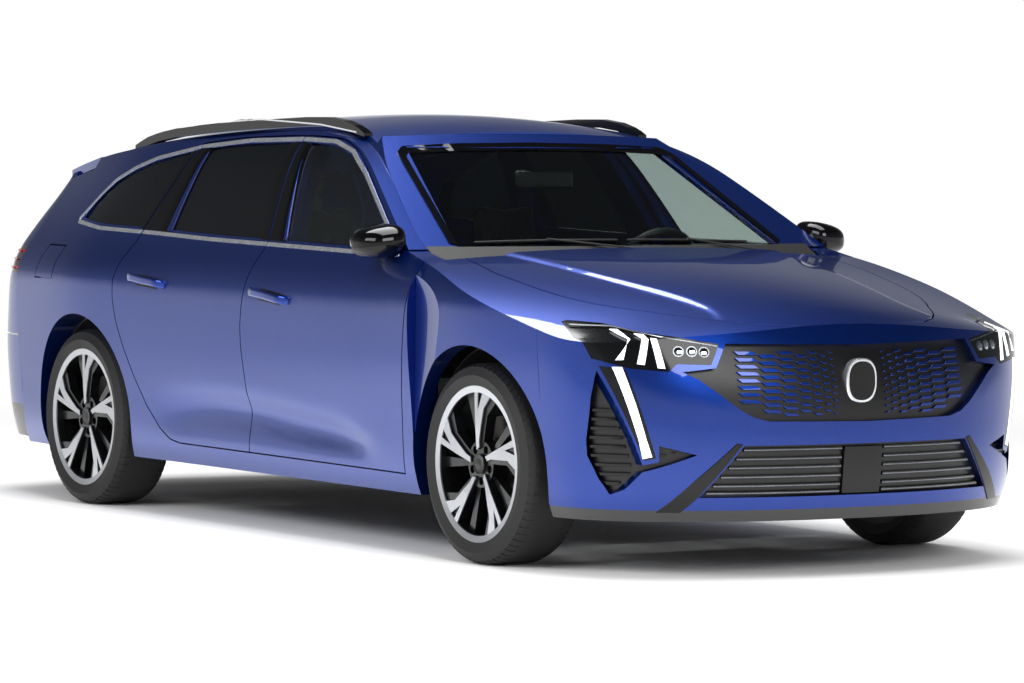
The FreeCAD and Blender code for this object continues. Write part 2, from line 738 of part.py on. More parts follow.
def screen_rows(levels, depth):
    """Return points on the windscreen's plane between the two side walls."""
    rows = []
    for z in levels:
        edge = bisected(lambda y: y - flank(screen(y, z), z), 300, 1000)
        edge -= size("pillar_depth") / 2
        rows.append([(screen(edge * share, z) - depth, edge * share, z) for share in steps(-1, 1, 9)])
    return placed(rows)


roof_stations = (TAILGATE_FRONT + 6, -1450, -1200, -900, -550, -200, 60, 200, ROOF_FRONT)
beside = thick(side_grid(even(-200)), side_grid(lambda z: wall_depth(z) + SEAM))
rail_half = size("pillar_depth") / 2
roof_panel = thick(
    roof_rows(roof_stations, 0, rail_half), roof_rows(roof_stations, size("roof_depth"), rail_half)
)
roof_panel = roof_panel.cut([beside, mirrored(beside)])
part("roof_panel", roof_panel)
SCREEN_LEVELS = (940, 1040, 1130, 1220, 1300, 1361)
FRAME_DEPTH = 60.0
frame = thick(screen_rows(SCREEN_LEVELS, 0), screen_rows(SCREEN_LEVELS, FRAME_DEPTH))
under_roof = Part.makeBox(
    HALF_LENGTH, 2 * FAR, FAR, Vector(along(ROOF_FRONT) + SEAM - HALF_LENGTH, -FAR, up(800))
)
frame = frame.cut([under_roof, beside, mirrored(beside)])
part("windscreen_frame", frame.cut(prism(SCREEN_OPENING, "x", 0, FAR)))
glass = thick(
    screen_rows(SCREEN_LEVELS, 2 * setback),
    screen_rows(SCREEN_LEVELS, 2 * (setback + size("glass_thickness"))),
)
part("windscreen", glass.common(prism(SCREEN_OPENING, "x", 0, FAR, -SEAM)))

# ---------------------------------------------------------------------------
# Hood, nose and tail
# ---------------------------------------------------------------------------


def tail_rows(levels, inset):
    """Return points on the tail between two levels."""
    return placed([[tail(z, share, inset) for z in levels] for share in steps(-1, 1, 17)])


lamp_outlines = (HEAD_LAMP, flipped(HEAD_LAMP))
grille_outlines = (GRILLE_OPENING, INTAKE_OPENING)
vent_outlines = (SIDE_VENT, flipped(SIDE_VENT))
fang_outlines = (FANG_LAMP, flipped(FANG_LAMP))
nose_holes = [
    end_prism(outline, 1)
    for outline in lamp_outlines + fang_outlines + vent_outlines + grille_outlines
]
part("front_bumper", front_wall.cut([arches[0], mirrored(arches[0]), *nose_holes]))
part("head_lamps", Part.makeCompound(
    [front_wall.common(end_prism(outline, 1, -SEAM)) for outline in lamp_outlines]
))
part("fang_lamps", Part.makeCompound(
    [front_wall.common(end_prism(outline, 1, -SEAM)) for outline in fang_outlines]
))
GRILLE_SETBACK = 26.0
GRILLE_DEPTH = 20.0
grille_plate = thick(
    nose_rows(GRILLE_SETBACK, NOSE_FOOT, 770), nose_rows(GRILLE_SETBACK + GRILLE_DEPTH, NOSE_FOOT, 770)
)
part("grilles", Part.makeCompound(
    [grille_plate.common(end_prism(outline, 1, -SEAM)) for outline in grille_outlines]
))
part("side_vents", Part.makeCompound(
    [grille_plate.common(end_prism(outline, 1, -SEAM)) for outline in vent_outlines]
))

part("rear_bumper", thick(tail_rows(TAIL_LEVELS, 0), tail_rows(TAIL_LEVELS, size("bumper_depth"))))
tail_wall = thick(tail_rows(GATE_LEVELS, 0), tail_rows(GATE_LEVELS, TAIL_DEPTH))
tail_lamps = (TAIL_LAMP, flipped(TAIL_LAMP))
gate_lamps = (GATE_LAMP, flipped(GATE_LAMP))
gate_shell = tail_wall.common(end_prism(TAILGATE, -1)).cut(end_prism(TAILGATE_WINDOW, -1))
gate_shell = gate_shell.cut(over_spoiler).fuse(spoiler)
part("tailgate", gate_shell.cut([end_prism(outline, -1) for outline in gate_lamps]))
part("tailgate_lamps", Part.makeCompound(
    [gate_shell.common(end_prism(outline, -1, -SEAM)) for outline in gate_lamps]
))
corner_shell = tail_wall.cut([end_prism(TAILGATE, -1, GAP + 2), spoiler_space])
part("tail_corners", corner_shell.cut([end_prism(outline, -1) for outline in tail_lamps]))
part("tail_lamps", Part.makeCompound(
    [corner_shell.common(end_prism(outline, -1, -SEAM)) for outline in tail_lamps]
))
gate_pane = thick(
    tail_rows(GATE_LEVELS, setback), tail_rows(GATE_LEVELS, setback + size("glass_thickness"))
)
part("tailgate_glass", gate_pane.common(end_prism(TAILGATE_WINDOW, -1, -SEAM)))

# ---------------------------------------------------------------------------
# Wheels and running gear
# ---------------------------------------------------------------------------

def origin_plane(body, role):
    """Return one of a body's own origin planes."""
    return next(item for item in body.Origin.OriginFeatures if item.Role == role)


def profile(body, name, corners, plane):
    """Draw a closed outline whose corners are pairs of sheet expressions."""
    sketch = body.newObject("Sketcher::SketchObject", name)
    sketch.AttachmentSupport = [(origin_plane(body, plane), "")]
    sketch.MapMode = "FlatFace"
    points = [Vector(*(float(sketch.evalExpression(word)) for word in pair), 0) for pair in corners]
    for start, end in zip(points, points[1:] + points[:1]):
        sketch.addGeometry(Part.LineSegment(start, end), False)
    for i in range(len(points)):
        sketch.addConstraint(Sketcher.Constraint("Coincident", i, 2, (i + 1) % len(points), 1))
    for i, pair in enumerate(corners):
        for kind, word, value in zip(("DistanceX", "DistanceY"), pair, points[i]):
            index = sketch.addConstraint(Sketcher.Constraint(kind, -1, 1, i, 1, value))
            sketch.setExpression(f"Constraints[{index}]", word)
    return sketch


def turned(name, corners):
    """Return a body turned about its own Y axis; corners are (radius, offset) expressions."""
    body = doc.addObject("PartDesign::Body", name)
    sketch = profile(body, f"{name}_profile", [(r, v) for r, v in corners], "XY_Plane")
    turn = body.newObject("PartDesign::Revolution", f"{name}_turn")
    turn.Profile = sketch
    turn.ReferenceAxis = (sketch, ["V_Axis"])
    turn.Angle = 360
    body.Tip = turn
    return body


def keep(body, label):
    """List a finished body as the sub-part of that label."""
    body.Label = label
    PARTS[label] = body


TYRE = [
    ("Sizes.rim_diameter / 2 + 0.3", "-Sizes.rim_width / 2 + 16"),
    ("Sizes.rim_diameter / 2 + 7.5", "-Sizes.rim_width / 2 + 8"),
    ("Sizes.rim_diameter / 2 + 7.5", "-Sizes.rim_width / 2 - 1"),
    ("Sizes.rim_diameter / 2 + 40", "-Sizes.tyre_width / 2"),
    ("Sizes.tyre_diameter / 2 - 12", "-Sizes.tyre_width / 2 + 14"),
    ("Sizes.tyre_diameter / 2 - 2", "-Sizes.tyre_width / 2 + 34"),
    ("Sizes.tyre_diameter / 2", "-Sizes.tyre_width / 2 + 60"),
    ("Sizes.tyre_diameter / 2", "Sizes.tyre_width / 2 - 60"),
    ("Sizes.tyre_diameter / 2 - 2", "Sizes.tyre_width / 2 - 34"),
    ("Sizes.tyre_diameter / 2 - 12", "Sizes.tyre_width / 2 - 14"),
    ("Sizes.rim_diameter / 2 + 40", "Sizes.tyre_width / 2"),
    ("Sizes.rim_diameter / 2 + 7.5", "Sizes.rim_width / 2 + 1"),
    ("Sizes.rim_diameter / 2 + 7.5", "Sizes.rim_width / 2 - 8"),
    ("Sizes.rim_diameter / 2 + 0.3", "Sizes.rim_width / 2 - 16"),
]
BARREL = [
    ("Sizes.rim_diameter / 2 + 7", "-Sizes.rim_width / 2"),
    ("Sizes.rim_diameter / 2 + 7", "-Sizes.rim_width / 2 + 7"),
    ("Sizes.rim_diameter / 2", "-Sizes.rim_width / 2 + 13"),
    ("Sizes.rim_diameter / 2", "Sizes.rim_width / 2 - 13"),
    ("Sizes.rim_diameter / 2 + 7", "Sizes.rim_width / 2 - 7"),
    ("Sizes.rim_diameter / 2 + 7", "Sizes.rim_width / 2"),
    ("Sizes.rim_diameter / 2 - 14", "Sizes.rim_width / 2 - 4"),
    ("Sizes.rim_diameter / 2 - 17", "0"),
    ("Sizes.rim_diameter / 2 - 14", "-Sizes.rim_width / 2"),
]
DISC = [
    ("20", "-Sizes.disc_thickness / 2"),
    ("Sizes.disc_diameter / 2", "-Sizes.disc_thickness / 2"),
    ("Sizes.disc_diameter / 2", "Sizes.disc_thickness / 2"),
    ("82", "Sizes.disc_thickness / 2"),
    ("82", "Sizes.mount_face + Sizes.disc_setback - 0.3"),
    ("20", "Sizes.mount_face + Sizes.disc_setback - 0.3"),
]
SPOKE_COUNT = 5
DISC_SETBACK = size("disc_setback")
RIM_FACE = size("rim_width") / 2 - 4
WHEELS = {
    "front_left": (FRONT_AXLE, 1),
    "front_right": (FRONT_AXLE, -1),
    "rear_left": (REAR_AXLE, 1),
    "rear_right": (REAR_AXLE, -1),
}
# One fifth of the wheel's face, as outlines of (share of the lip's radius, degrees).
SLIM_ARM = [(0.19, 33), (0.99, 22.5), (1.0, 17.2), (0.19, 24)]
BROAD_ARM = [(0.21, 24), (0.45, 20), (0.696, 17.7), (0.927, 10.4), (1.0, 7.1), (0.99, -3.2), (0.737, 6.7),
             (0.314, 14.6), (0.21, 14)]
ARM_WEB = [(0.45, 22), (1.0, 19), (1.0, 5), (0.90, 9), (0.696, 15), (0.45, 17)]
ARM_FLANK = [(0.25, 16), (0.70, 10), (1.0, 0), (1.0, -9), (0.923, -8.8), (0.663, 1.9), (0.25, 4)]
LOW_ARM = [(0.22, 44), (0.95, 42), (0.96, 33.4), (0.22, 28)]
LUG_CIRCLE = 54.0
LUG_RADIUS = 13.5
LUG_ANGLE = -15.0
CAP_RADIUS = 33.0
HUB_FACE = RIM_FACE - 15


def dish(lowered, depth):
    """Return the turned disc that the wheel's arms are cut from, lowered under the rim's face."""
    reach = size("rim_diameter") / 2 - 8
    face = [(0, RIM_FACE - 7), (45, RIM_FACE - 6), (120, RIM_FACE - 2), (reach, RIM_FACE)]
    corners = [Vector(r, y - lowered, 0) for r, y in face]
    corners += [Vector(r, y - lowered - depth, 0) for r, y in face[::-1]]
    return Part.Face(Part.makePolygon(corners + corners[:1])).revolve(Vector(0, 0, 0), Vector(0, 1, 0), 360)


def around(outline, turn):
    """Return a prism on an outline of shares and degrees, turned round the wheel's axis."""
    lip = size("rim_diameter") / 2 + 5
    corners = []
    for share, degrees in outline:
        angle = math.radians(degrees + turn)
        corners.append(Vector(-share * lip * math.cos(angle), 0, share * lip * math.sin(angle)))
    return Part.Face(Part.makePolygon(corners + corners[:1])).extrude(Vector(0, size("rim_width"), 0))


def spokes():
    """Return the hub with five slim, five broad and five set-back arms, and the lug recesses."""
    depth = size("spoke_thickness")
    back = size("mount_face")
    axis = Vector(0, 1, 0)
    hub = Part.makeCylinder(size("hub_diameter") / 2, HUB_FACE - back, Vector(0, back, 0), axis)
    turns = [360 / SPOKE_COUNT * index for index in range(SPOKE_COUNT)]
    layers = ((0.0, (SLIM_ARM, BROAD_ARM)), (9.0, (ARM_WEB, ARM_FLANK)), (22.0, (LOW_ARM,)))
    shape = hub.fuse(Part.makeCylinder(CAP_RADIUS, RIM_FACE - 7 - back, Vector(0, back, 0), axis))
    for lowered, outlines in layers:
        prisms = [around(outline, turn) for outline in outlines for turn in turns]
        shape = shape.fuse(dish(lowered, depth).common(prisms[0].fuse(prisms[1:])))
    recesses = []
    for turn in turns:
        angle = math.radians(LUG_ANGLE + turn)
        seat = Vector(-LUG_CIRCLE * math.cos(angle), HUB_FACE - 26, LUG_CIRCLE * math.sin(angle))
        recesses.append(Part.makeCylinder(LUG_RADIUS, size("rim_width"), seat, axis))
    return shape.cut(recesses)


doc.recompute()
arms_and_hub = spokes()
for corner, (axle, side) in WHEELS.items():
    facing = Rotation(Vector(0, 0, 1), 0 if side > 0 else 180)
    seat = Placement(Vector(axle, side * size("track") / 2, WHEEL_CENTRE), facing)
    tyre = turned(f"tyre_{corner}", TYRE)
    disc = turned(f"disc_{corner}", DISC)
    barrel = turned(f"barrel_{corner}", BARREL)
    doc.recompute()
    keep(tyre, f"tyre_{corner}")
    keep(disc, f"brake_disc_{corner}")
    tyre.Placement = seat
    disc.Placement = Placement(seat.Base + Vector(0, -side * DISC_SETBACK, 0), facing)
    wheel = part(f"rim_{corner}", barrel.Shape.fuse(arms_and_hub))
    wheel.Placement = seat

ENGINE = {"Length": 480, "Width": 620, "Height": 470}
engine = doc.addObject("Part::Box", "engine_block")
for side_name, value in ENGINE.items():
    setattr(engine, side_name, value)
engine.Placement.Base = Vector(FRONT_AXLE - 100, -330, WHEEL_CENTRE - 128 + 26 + SEAM)
keep(engine, "engine_block")


def box(x, y, z):
    """Return a box between pairs of limits."""
    return Part.makeBox(x[1] - x[0], y[1] - y[0], z[1] - z[0], Vector(x[0], y[0], z[0]))


def ribbon(outline, low, high):
    """Return a solid with a side-view outline in mm, between two half-widths."""
    corners = [Vector(along(x), low, up(z)) for x, z in outline]
    return Part.Face(Part.makePolygon(corners + corners[:1])).extrude(Vector(0, high - low, 0))


def tube(path, radius):
    """Return a round bar along straight runs."""
    runs = []
    for start, end in zip(path, path[1:]):
        runs.append(Part.makeCylinder(radius, (end - start).Length, start, end - start))
        runs.append(Part.makeSphere(radius, end))
    return runs[0].fuse(runs[1:-1])


hinge_arms = [
    ribbon(HOOD_HINGE, side * across(HINGE_AT) - HINGE_WIDTH / 2, side * across(HINGE_AT) + HINGE_WIDTH / 2)
    for side in (-1, 1)
]
part("hood", hood_panel.fuse(hinge_arms))

CABIN_HALF = flank(0, 195) - SILL_REACH + 20
beside_sill = thick(side_grid(even(-100)), side_grid(even(SILL_REACH + SEAM)))
FLOOR = [
    (960, 195), (-820, 195), (-900, 380), (-1000, 520), (-1835, 540), (-1835, 570),
    (-975, 552), (-868, 392), (-795, 225), (930, 225), (1000, 330), (1000, 915), (1030, 915),
    (1030, 320),
]
WHEEL_HOUSE = 620.0
tray = ribbon(FLOOR, -across(WHEEL_HOUSE), across(WHEEL_HOUSE))
wings = []
for side in (-1, 1):
    wide = sorted((side * across(WHEEL_HOUSE), side * across(CABIN_HALF)))
    wings.append(box((along(-780), along(930)), wide, (up(197), up(223))))
part("floor_pan", tray.fuse(wings).cut([beside_sill, mirrored(beside_sill)]))

LINER_THICKNESS = 4.0
liners = []
for axle, inner, reach in (
    (FRONT_AXLE, 480.0, size("door_depth")), (REAR_AXLE, 640.0, size("door_depth"))
):
    outer = across(flank(drawn_x(axle), 650) - reach) - 6
    base = Vector(axle, -outer, WHEEL_CENTRE)
    width = outer - across(inner)
    direction = Vector(0, 1, 0)
    shell = Part.makeCylinder(ARCH_RADIUS - 1, width, base, direction)
    bore = Part.makeCylinder(ARCH_RADIUS - 1 - LINER_THICKNESS, width, base, direction)
    half = box((axle - FAR, axle + FAR), (-FAR, 0), (WHEEL_CENTRE, FAR))
    liners.append(shell.cut(bore).common(half))
part("arch_liners", Part.makeCompound(liners + [mirrored(liner) for liner in liners]))

STRUT_TOP = WHEEL_CENTRE + ARCH_RADIUS - 12
KINGPIN = size("track") / 2 - 95
ARM_LEVEL = WHEEL_CENTRE - 128


def knuckle(side):
    """Return a hub carrier with its strut and brake caliper."""
    slot_low = size("track") / 2 - DISC_SETBACK - size("disc_thickness") / 2 - 3
    hub = Part.makeCylinder(30, slot_low + 3 - SEAM - KINGPIN + 30,
                            Vector(FRONT_AXLE, side * (KINGPIN - 30), WHEEL_CENTRE),
                            Vector(0, side, 0))
    post = box((FRONT_AXLE - 28, FRONT_AXLE + 28), sorted((side * (KINGPIN - 74), side * (KINGPIN + 6))),
               (ARM_LEVEL + 4 + SEAM, WHEEL_CENTRE + 150))
    strut = Part.makeCylinder(26, STRUT_TOP - WHEEL_CENTRE - 100,
                              Vector(FRONT_AXLE, side * (KINGPIN - 52), WHEEL_CENTRE + 100),
                              Vector(0, 0, 1))
    caliper = box((FRONT_AXLE + 88, FRONT_AXLE + 196),
                  sorted((side * (KINGPIN + 6), side * (KINGPIN + 62))),
                  (WHEEL_CENTRE - 50, WHEEL_CENTRE + 50))
    slot_high = slot_low + size("disc_thickness") + 6
    slot = Part.makeCylinder(size("disc_diameter") / 2 + 4, slot_high - slot_low,
                             Vector(FRONT_AXLE, side * slot_low, WHEEL_CENTRE), Vector(0, side, 0))
    bracket = box((FRONT_AXLE, FRONT_AXLE + 130),
                  sorted((side * (KINGPIN - 20), side * (KINGPIN + 10))),
                  (WHEEL_CENTRE - 40, WHEEL_CENTRE + 40))
    return hub.fuse([post, strut, caliper.cut(slot), bracket.cut(slot)])


for label, side in (("left", 1), ("right", -1)):
    part(f"front_knuckle_{label}", knuckle(side))

arms = []
for side in (-1, 1):
    reach = sorted((side * 300, side * (KINGPIN - 10)))
    arms.append(box((FRONT_AXLE - 30, FRONT_AXLE + 30), reach, (ARM_LEVEL - 18, ARM_LEVEL + 4)))
cradle = box((FRONT_AXLE - 150, FRONT_AXLE + 150), (-330, 330), (ARM_LEVEL - 22, ARM_LEVEL + 26))
legs = [
    box((along(880), FRONT_AXLE), sorted((side * 240, side * 300)), (ARM_LEVEL - 22, up(195) - SEAM))
    for side in (-1, 1)
]
part("front_subframe", cradle.fuse(arms + legs))

STUB = size("track") / 2 - DISC_SETBACK - size("disc_thickness") / 2 - SEAM
TRAILING_ARM = [(-1340, 268), (-852.5, 268), (-887, 348), (-1340, 348)]
beam = box((REAR_AXLE + 120, REAR_AXLE + 210), (-560, 560), (WHEEL_CENTRE - 60, WHEEL_CENTRE + 20))
links = []
for side in (-1, 1):
    links.append(ribbon(TRAILING_ARM, *sorted((side * 540, side * 600))))
    links.append(Part.makeCylinder(30, STUB - 560, Vector(REAR_AXLE, side * 560, WHEEL_CENTRE),
                                   Vector(0, side, 0)))
part("rear_axle", beam.fuse(links))

pipe_radius = size("exhaust_diameter") / 2
PIPE_LEVEL = 195 - size("exhaust_diameter") / 2 - SEAM
PIPE = [(1150, 40, PIPE_LEVEL), (900, 40, PIPE_LEVEL), (-880, 60, PIPE_LEVEL), (-1040, 330, 205),
        (-1750, 330, 230)]
path = [Vector(along(x), across(y), up(z)) for x, y, z in PIPE]
silencer = box((along(-2080), along(-1740)), (across(180), across(560)), (up(205), up(345)))
part("exhaust", tube(path, pipe_radius).fuse(silencer))

# ---------------------------------------------------------------------------
# Cabin
# ---------------------------------------------------------------------------

DASHBOARD = [(999, 900), (999, 600), (900, 560), (760, 640), (700, 760), (760, 900), (860, 935),
             (960, 935)]
part("dashboard", ribbon(DASHBOARD, -across(725), across(725)).fuse(
    box((along(60), along(880)), (-across(105), across(105)), (up(225) + SEAM, up(620)))
))

SEAT_SIDE = [(300, 300), (200, 300), (200, 225.3), (-150, 225.3), (-150, 300), (-190, 300), (-205, 420), (-420, 900), (-330, 930), (-120, 520), (280, 500)]
HEADREST = [(-415, 880), (-440, 915), (-480, 1090), (-395, 1105), (-345, 935), (-345, 890)]
seat_half = size("seat_width") / 2
front_seats = []
for side in (-1, 1):
    centre = side * across(370)
    limits = (centre - seat_half, centre + seat_half)
    front_seats.append(ribbon(SEAT_SIDE, *limits).fuse(ribbon(HEADREST, centre - 130, centre + 130)))
part("front_seats", Part.makeCompound(front_seats))
REAR_SEAT = [(-440, 225.3), (-792, 225.3), (-800, 300), (-840, 395), (-945, 560), (-1075, 880),
             (-975, 900), (-800, 500), (-450, 480)]
REAR_REST = [(-1095, 865), (-1140, 1030), (-1060, 1040), (-1000, 880)]
bench = ribbon(REAR_SEAT, -across(620), across(620))
rests = [ribbon(REAR_REST, side * across(370) - 120, side * across(370) + 120) for side in (-1, 1)]
part("rear_seat", bench.fuse(rests))

WHEEL_SEAT = Vector(along(560), across(370), up(880))
COLUMN_AXIS = Vector(-0.906, 0, 0.423)
grip = size("steering_grip") / 2
ring = Part.makeTorus(size("steering_wheel_diameter") / 2 - grip, grip, WHEEL_SEAT, COLUMN_AXIS)
boss = Part.makeCylinder(60, 40, WHEEL_SEAT - COLUMN_AXIS * 42, COLUMN_AXIS)
stalk = Part.makeCylinder(22, 139, WHEEL_SEAT - COLUMN_AXIS * 175, COLUMN_AXIS)
cross = box((-14, 14), (-size("steering_wheel_diameter") / 2 + grip, size("steering_wheel_diameter") / 2 - grip),
            (-16, 16))
cross.Placement = Placement(WHEEL_SEAT, Rotation(Vector(0, 0, 1), COLUMN_AXIS)).multiply(
    Placement(Vector(0, 0, -14), Rotation(Vector(0, 1, 0), 90)))
part("steering_wheel", ring.fuse([boss, stalk, cross]))

# ---------------------------------------------------------------------------
# Mirrors, rails and antenna
# ---------------------------------------------------------------------------

MIRROR_PLAN = [(712, 838), (772, 838), (806, 862), (820, 905), (812, 945), (782, 966), (735, 968),
               (700, 945), (684, 905), (690, 862)]
MIRROR_FRONT = [(838, 958), (850, 948), (930, 956), (960, 972), (970, 1010), (955, 1048), (915, 1070),
                (860, 1070), (838, 1050)]
mirror = prism([(x, -y) for x, y in MIRROR_PLAN], "z", up(930), up(1090)).common(
    prism([(-y, z) for y, z in MIRROR_FRONT], "x", along(600), along(900))
)
mirror_arm = box((along(770), along(985)), (-across(872), -across(800)), (up(940), up(966)))
mirror_body = mirror.fuse(mirror_arm)
for label, shape in (("right", mirror_body), ("left", mirrored(mirror_body))):
    part(f"mirror_{label}", shape.cut([PARTS[f"front_door_{label}"].Shape]))

RAIL_STATIONS = (-1480, -1440, -1380, -1300, -1150, -1000, -800, -600, -400, -200, -50, 60, 130, 170, 200)
RAIL_LIFT = (2, 10, 20, 26, 30, 31, 31, 31, 31, 31, 29, 24, 17, 10, 2)
RAIL_AT = 560.0
rail_low = []
rail_high = []
for x, lift in zip(RAIL_STATIONS, RAIL_LIFT):
    rail_low.append((x, roof(x, RAIL_AT) + max(-6.0, lift - size("rail_height"))))
    rail_high.append((x, roof(x, RAIL_AT) + lift + 4))
rail = ribbon(rail_low + rail_high[::-1], -across(RAIL_AT) - size("rail_width") / 2,
              -across(RAIL_AT) + size("rail_width") / 2)
part("roof_rails", both_sides(rail.cut(roof_panel)))
FIN = [(-1390, 1350), (-1560, 1325), (-1556, 1372), (-1538, 1398), (-1510, 1402), (-1450, 1388)]
part("antenna_fin", ribbon(FIN, -22, 22).cut(roof_panel))

# ---------------------------------------------------------------------------
# Check and write every sub-part
# ---------------------------------------------------------------------------

doc.recompute()
for item in doc.Objects:
    if {"Invalid", "Error"} & set(item.State):
        raise RuntimeError(f"{item.Name} failed: {item.State}")
for label, item in PARTS.items():
    shape = item.Shape
    if shape.isNull() or not shape.isValid():
        raise RuntimeError(f"{label} has no valid shape")
for label, item in PARTS.items():
    item.Shape.exportStep(f"parts/{label}.step")
    print(label, len(item.Shape.Solids), round(item.Shape.Volume / 1e6, 2))
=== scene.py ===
"""Looks of a station wagon: paint, glass, lamps, grilles, wheels and cabin over its fixed frame.

Everything is in metres in the frame's own axes: +X to the car's nose, +Y to its left and +Z up,
with the ground at z = 0 and the origin half way along the car. Tables are in millimetres.
"""

import logging
import math
from collections.abc import Sequence
from dataclasses import dataclass, field
from enum import Enum

import bpy
import bmesh
from mathutils import Matrix, Vector
from mathutils.bvhtree import BVHTree


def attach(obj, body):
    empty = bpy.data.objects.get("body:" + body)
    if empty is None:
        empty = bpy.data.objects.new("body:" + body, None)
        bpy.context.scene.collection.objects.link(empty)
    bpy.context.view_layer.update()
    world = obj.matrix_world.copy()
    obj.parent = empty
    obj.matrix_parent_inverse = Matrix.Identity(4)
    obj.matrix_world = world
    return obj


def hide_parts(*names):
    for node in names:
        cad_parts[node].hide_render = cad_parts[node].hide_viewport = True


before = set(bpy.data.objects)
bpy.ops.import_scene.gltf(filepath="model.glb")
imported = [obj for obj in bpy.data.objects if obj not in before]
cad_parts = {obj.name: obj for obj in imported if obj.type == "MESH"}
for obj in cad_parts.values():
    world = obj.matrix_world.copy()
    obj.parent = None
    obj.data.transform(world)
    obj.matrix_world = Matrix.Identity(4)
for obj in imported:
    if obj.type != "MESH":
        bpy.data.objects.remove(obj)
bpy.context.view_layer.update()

log = logging.getLogger("station_wagon")
MM = 0.001
Pairs = Sequence[tuple[float, float]]
Grid = list[list[Vector]]
Tree = bpy.types.NodeTree
Socket = bpy.types.NodeSocket


# --------------------------------------------------------------------------- helpers


def linear(code: str) -> tuple[float, float, float, float]:
    """Turn an sRGB hex colour to linear RGBA.

    Args:
        code: Six hex digits.

    Returns:
        The four linear values.
    """
    values = [int(code[i:i + 2], 16) / 255 for i in (0, 2, 4)]
    red, green, blue = (v / 12.92 if v <= 0.04045 else ((v + 0.055) / 1.055) ** 2.4 for v in values)
    return red, green, blue, 1.0


def add_node(
    tree: Tree, kind: str, settings: dict | None = None, links: dict | None = None
) -> bpy.types.Node:
    """Add a node, set its properties and fill its inputs.

    Args:
        tree: The node tree that gets the node.
        kind: The node's type name.
        settings: Property names and values.
        links: Input names or numbers, each with a value or an output socket.

    Returns:
        The new node.
    """
    node = tree.nodes.new(kind)
    for name, value in (settings or {}).items():
        setattr(node, name, value)
    for name, value in (links or {}).items():
        if isinstance(value, Socket):
            tree.links.new(value, node.inputs[name])
        else:
            node.inputs[name].default_value = value
    return node


def output(tree: Tree, kind: str, settings: dict | None = None, links: dict | None = None) -> Socket:
    """Add a node as add_node does, and return its first output."""
    return add_node(tree, kind, settings, links).outputs[0]


def ramp(tree: Tree, factor: Socket, stops: Sequence[tuple[float, str]]) -> Socket:
    """Map a value to colours.

    Args:
        tree: The node tree that gets the ramp.
        factor: The value to map.
        stops: Pairs of a place from 0 to 1 and a hex colour.

    Returns:
        The colour output.
    """
    node = add_node(tree, "ShaderNodeValToRGB", links={"Fac": factor})
    while len(node.color_ramp.elements) < len(stops):
        node.color_ramp.elements.new(0.5)
    for element, (place, code) in zip(node.color_ramp.elements, stops):
        element.position = place
        element.color = linear(code)
    return node.outputs["Color"]


def two_tone(tree: Tree, factor: Socket, colours: Sequence[str]) -> Socket:
    """Shade between two hex colours over the middle of a noise."""
    return ramp(tree, factor, list(zip(NOISE_ENDS, colours)))


def mapped(tree: Tree, value: Socket, ends: tuple[float, float], to: tuple[float, float] = (0, 1)) -> Socket:
    """Map a value from one pair of ends to another."""
    return output(tree, "ShaderNodeMapRange", links={
        "Value": value, "From Min": ends[0], "From Max": ends[1], "To Min": to[0], "To Max": to[1]})


def blend(tree: Tree, factor: Socket, low: Socket, high: Socket) -> Socket:
    """Mix two colours: the first where the factor is 0 and the second where it is 1."""
    links = {"Factor": factor, 6: low, 7: high}
    return add_node(tree, "ShaderNodeMix", {"data_type": "RGBA"}, links).outputs[2]


def bare_tree(owner: bpy.types.Material | bpy.types.World) -> Tree:
    """Return the emptied node tree of a material or a world."""
    owner.use_nodes = True
    owner.node_tree.nodes.clear()
    return owner.node_tree


def placed(name: str, data: bpy.types.ID) -> bpy.types.Object:
    """Make an object and link it to the scene."""
    item = bpy.data.objects.new(name, data)
    bpy.context.scene.collection.objects.link(item)
    return item


def apply_modifiers(item: bpy.types.Object) -> None:
    """Turn an object's modifiers into plain mesh."""
    graph = bpy.context.evaluated_depsgraph_get()
    mesh = bpy.data.meshes.new_from_object(item.evaluated_get(graph))
    item.modifiers.clear()
    item.data = mesh


def angles(count: int, offset: float = 0.0) -> list[float]:
    """Spread angles evenly round a circle."""
    return [2 * math.pi * (k + offset) / count for k in range(count)]


def squared(value: float, power: float) -> float:
    """Push a coordinate of a unit circle outward, so that the circle's corners fill out."""
    return math.copysign(abs(value) ** power, value)


def between(table: Pairs, at: float) -> float:
    """Read a value from a table whose first coordinate goes up."""
    for (a, b), (c, d) in zip(table, table[1:]):
        if at <= c:
            return b + (d - b) * (at - a) / (c - a)
    return table[-1][1]


def cut(line: Pairs, start: float, end: float) -> Pairs:
    """Keep the part of a line between two values of its first coordinate."""
    out = []
    for (a, b), (c, d) in zip(line, line[1:]):
        for x in (start, end):
            if a < x < c:
                out.append((x, b + (d - b) * (x - a) / (c - a)))
        if start <= c <= end:
            out.append((c, d))
    if line[0][0] >= start:
        out.insert(0, line[0])
    return sorted(set(out))


def resampled(points: Pairs, count: int) -> Pairs:
    """Spread points evenly along a line.

    Args:
        points: The line's corners.
        count: How many points to return.

    Returns:
        The points, ends included.
    """
    lengths = [math.dist(a, b) for a, b in zip(points, points[1:])]
    total = sum(lengths)
    out = []
    for i in range(count):
        left = total * i / (count - 1)
        for (start, end), length in zip(zip(points, points[1:]), lengths):
            if left <= length or end is points[-1]:
                share = min(1.0, left / length) if length else 0.0
                out.append(tuple(a + (b - a) * share for a, b in zip(start, end)))
                break
            left -= length
    return out


def shifted(points: Pairs, distance: float) -> Pairs:
    """Move a line sideways, to the left of its direction.

    Args:
        points: The line.
        distance: How far.

    Returns:
        The moved line.
    """
    out = []
    for i, (a, b) in enumerate(points):
        before, after = points[max(i - 1, 0)], points[min(i + 1, len(points) - 1)]
        run, rise = after[0] - before[0], after[1] - before[1]
        length = math.hypot(run, rise) or 1.0
        out.append((a - rise / length * distance, b + run / length * distance))
    return out


# --------------------------------------------------------------------------- finishes

